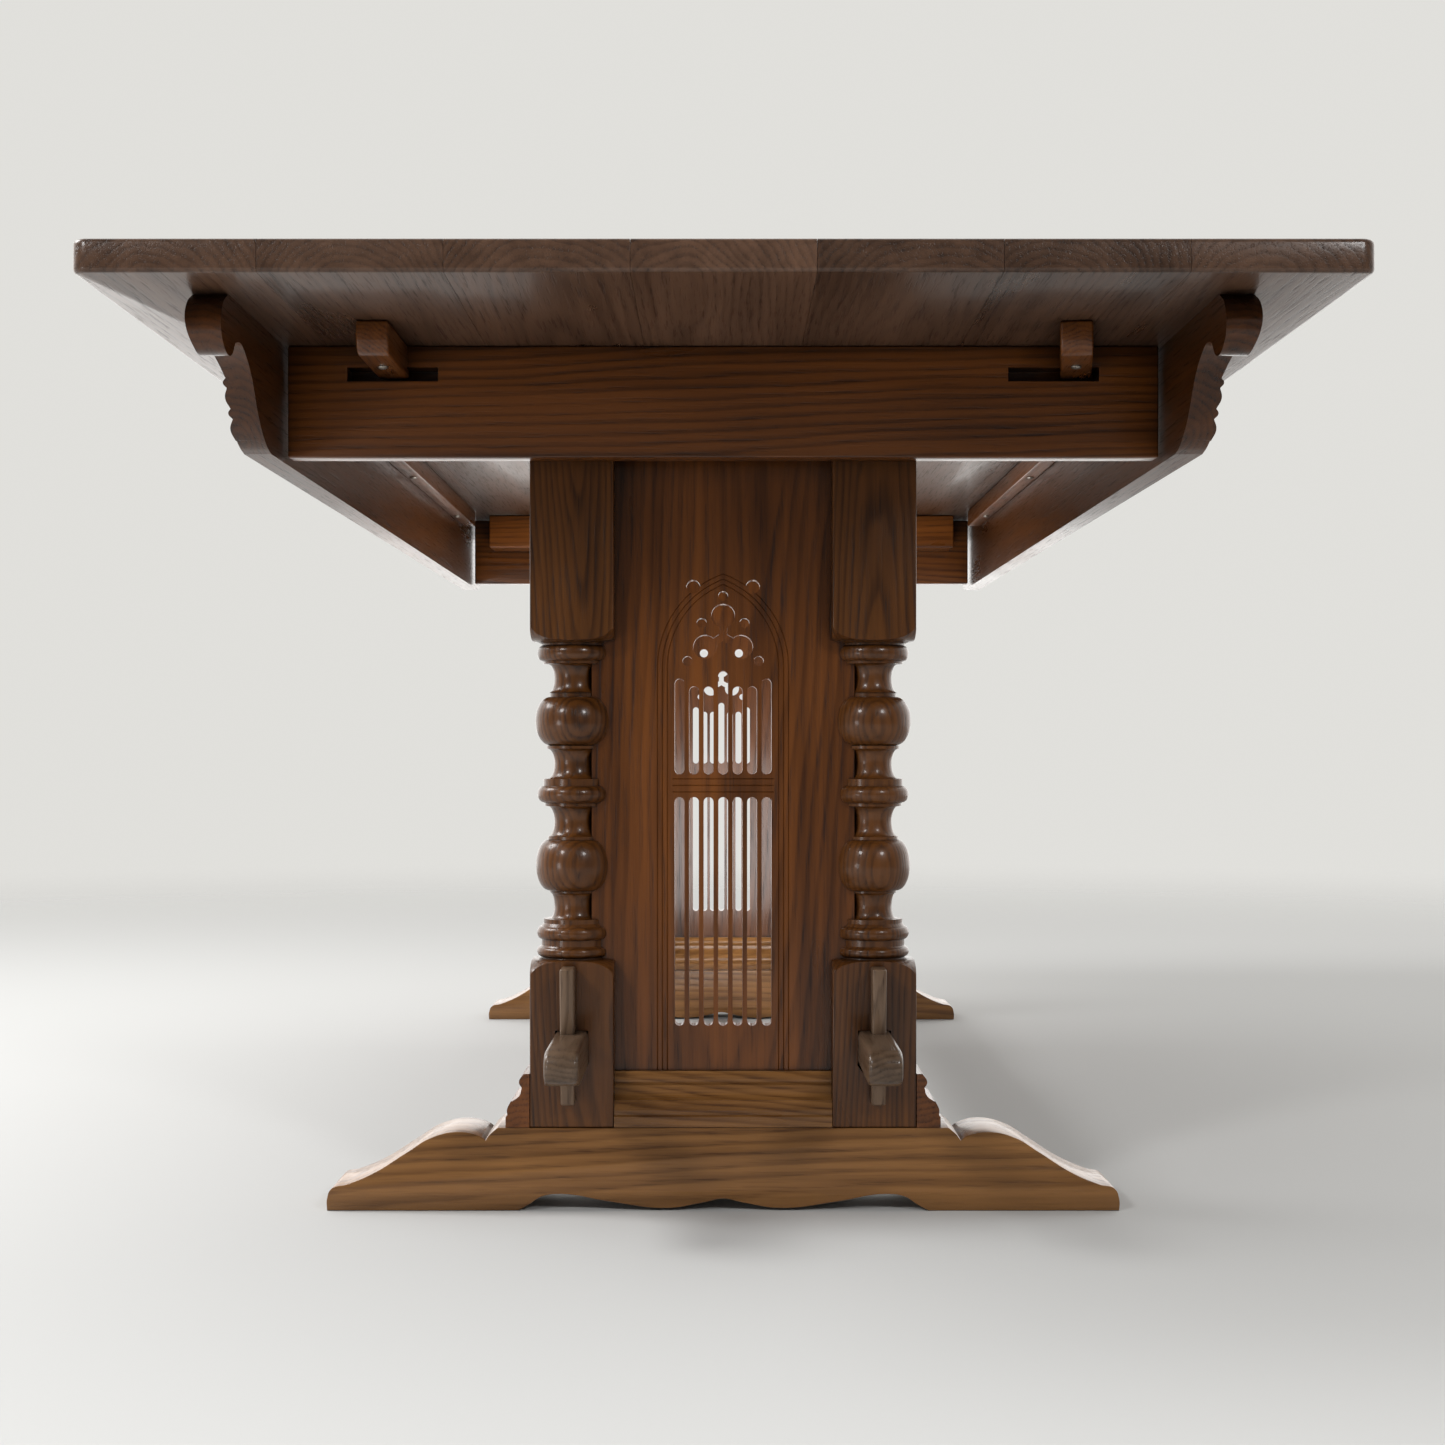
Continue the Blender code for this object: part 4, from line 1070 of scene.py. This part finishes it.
def make_floor():
    """Pale floor that fades out into the backdrop."""
    mesh = bpy.data.meshes.new("studio_floor")
    bm = bmesh.new()
    bmesh.ops.create_grid(bm, x_segments=8, y_segments=8, size=FLOOR_SIZE)
    bm.to_mesh(mesh)
    bm.free()
    floor = bpy.data.objects.new("studio_floor", mesh)
    bpy.context.scene.collection.objects.link(floor)
    floor.location.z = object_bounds()[0].z - FLOOR_DROP
    material = bpy.data.materials.new("pale_floor")
    material.use_nodes = True
    n = Nodes(material.node_tree)
    shader = material.node_tree.nodes["Principled BSDF"]
    shader.inputs["Base Color"].default_value = (*FLOOR_COLOUR, 1.0)
    shader.inputs["Roughness"].default_value = 0.9
    shader.inputs["Specular IOR Level"].default_value = 0.0
    where = n.add("ShaderNodeTexCoord").outputs["Object"]
    distance = n.add("ShaderNodeVectorMath", operation="LENGTH")
    n.link(where, distance.inputs[0])
    fade = n.remap(distance.outputs["Value"], *FLOOR_FADE, smooth=True)
    clear = n.add("ShaderNodeBsdfTransparent")
    both = n.add("ShaderNodeMixShader")
    n.link(fade, both.inputs[0])
    n.link(shader.outputs[0], both.inputs[1])
    n.link(clear.outputs[0], both.inputs[2])
    output = material.node_tree.nodes["Material Output"]
    n.link(both.outputs[0], output.inputs["Surface"])
    mesh.materials.append(material)


def make_world():
    """A pale backdrop all round, brighter as a light source beyond the far end of the table."""
    world = bpy.data.worlds.new("studio")
    bpy.context.scene.world = world
    world.use_nodes = True
    n = Nodes(world.node_tree)
    output = world.node_tree.nodes["World Output"]
    seen = world.node_tree.nodes["Background"]
    seen.inputs["Color"].default_value = (*BACKDROP, 1.0)
    light = n.add("ShaderNodeBackground")
    light.inputs["Color"].default_value = (*WORLD_COLOUR, 1.0)
    split = n.add("ShaderNodeSeparateXYZ")
    n.link(n.add("ShaderNodeTexCoord").outputs["Generated"], split.inputs[0])
    strength = n.remap(split.outputs["Y"], -0.5, 1.0, *WORLD_STRENGTH, smooth=True)
    n.link(strength, light.inputs["Strength"])
    both = n.add("ShaderNodeMixShader")
    n.link(n.add("ShaderNodeLightPath").outputs["Is Camera Ray"], both.inputs[0])
    n.link(light.outputs[0], both.inputs[1])
    n.link(seen.outputs[0], both.inputs[2])
    n.link(both.outputs[0], output.inputs["Surface"])


def make_lamps():
    for name, position, aim, size, watts in LAMPS:
        light = bpy.data.lights.new(name, "AREA")
        light.shape = "DISK"
        light.size = size
        light.energy = watts
        lamp = bpy.data.objects.new(name, light)
        lamp.location = position
        lamp.rotation_euler = (Vector(aim) - Vector(position)).to_track_quat("-Z", "Y").to_euler()
        bpy.context.scene.collection.objects.link(lamp)


def make_camera():
    """Level camera on the table's long axis, just over half its height, facing one end."""
    data = bpy.data.cameras.new("camera")
    data.lens = LENS
    data.sensor_width = 36.0
    data.shift_x, data.shift_y = SHIFT
    camera = bpy.data.objects.new("camera", data)
    camera.location = (CAMERA_SIDE, -(TRESTLE_Y + CAMERA_DISTANCE), CAMERA_HEIGHT)
    camera.rotation_euler = (math.radians(90), 0, 0)
    bpy.context.scene.collection.objects.link(camera)
    bpy.context.scene.camera = camera


def write_sizes():
    """Brings the view layer up to date."""
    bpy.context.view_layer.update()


bpy.context.scene.view_settings.view_transform = "Standard"
make_top()
make_rails()
make_posts()
make_feet()
make_panels()
make_plinths()
make_cross_pieces()
make_stretchers()
make_wedges()
make_buttons()
make_screws(worn_steel())
make_floor()
make_world()
make_lamps()
make_camera()
write_sizes()
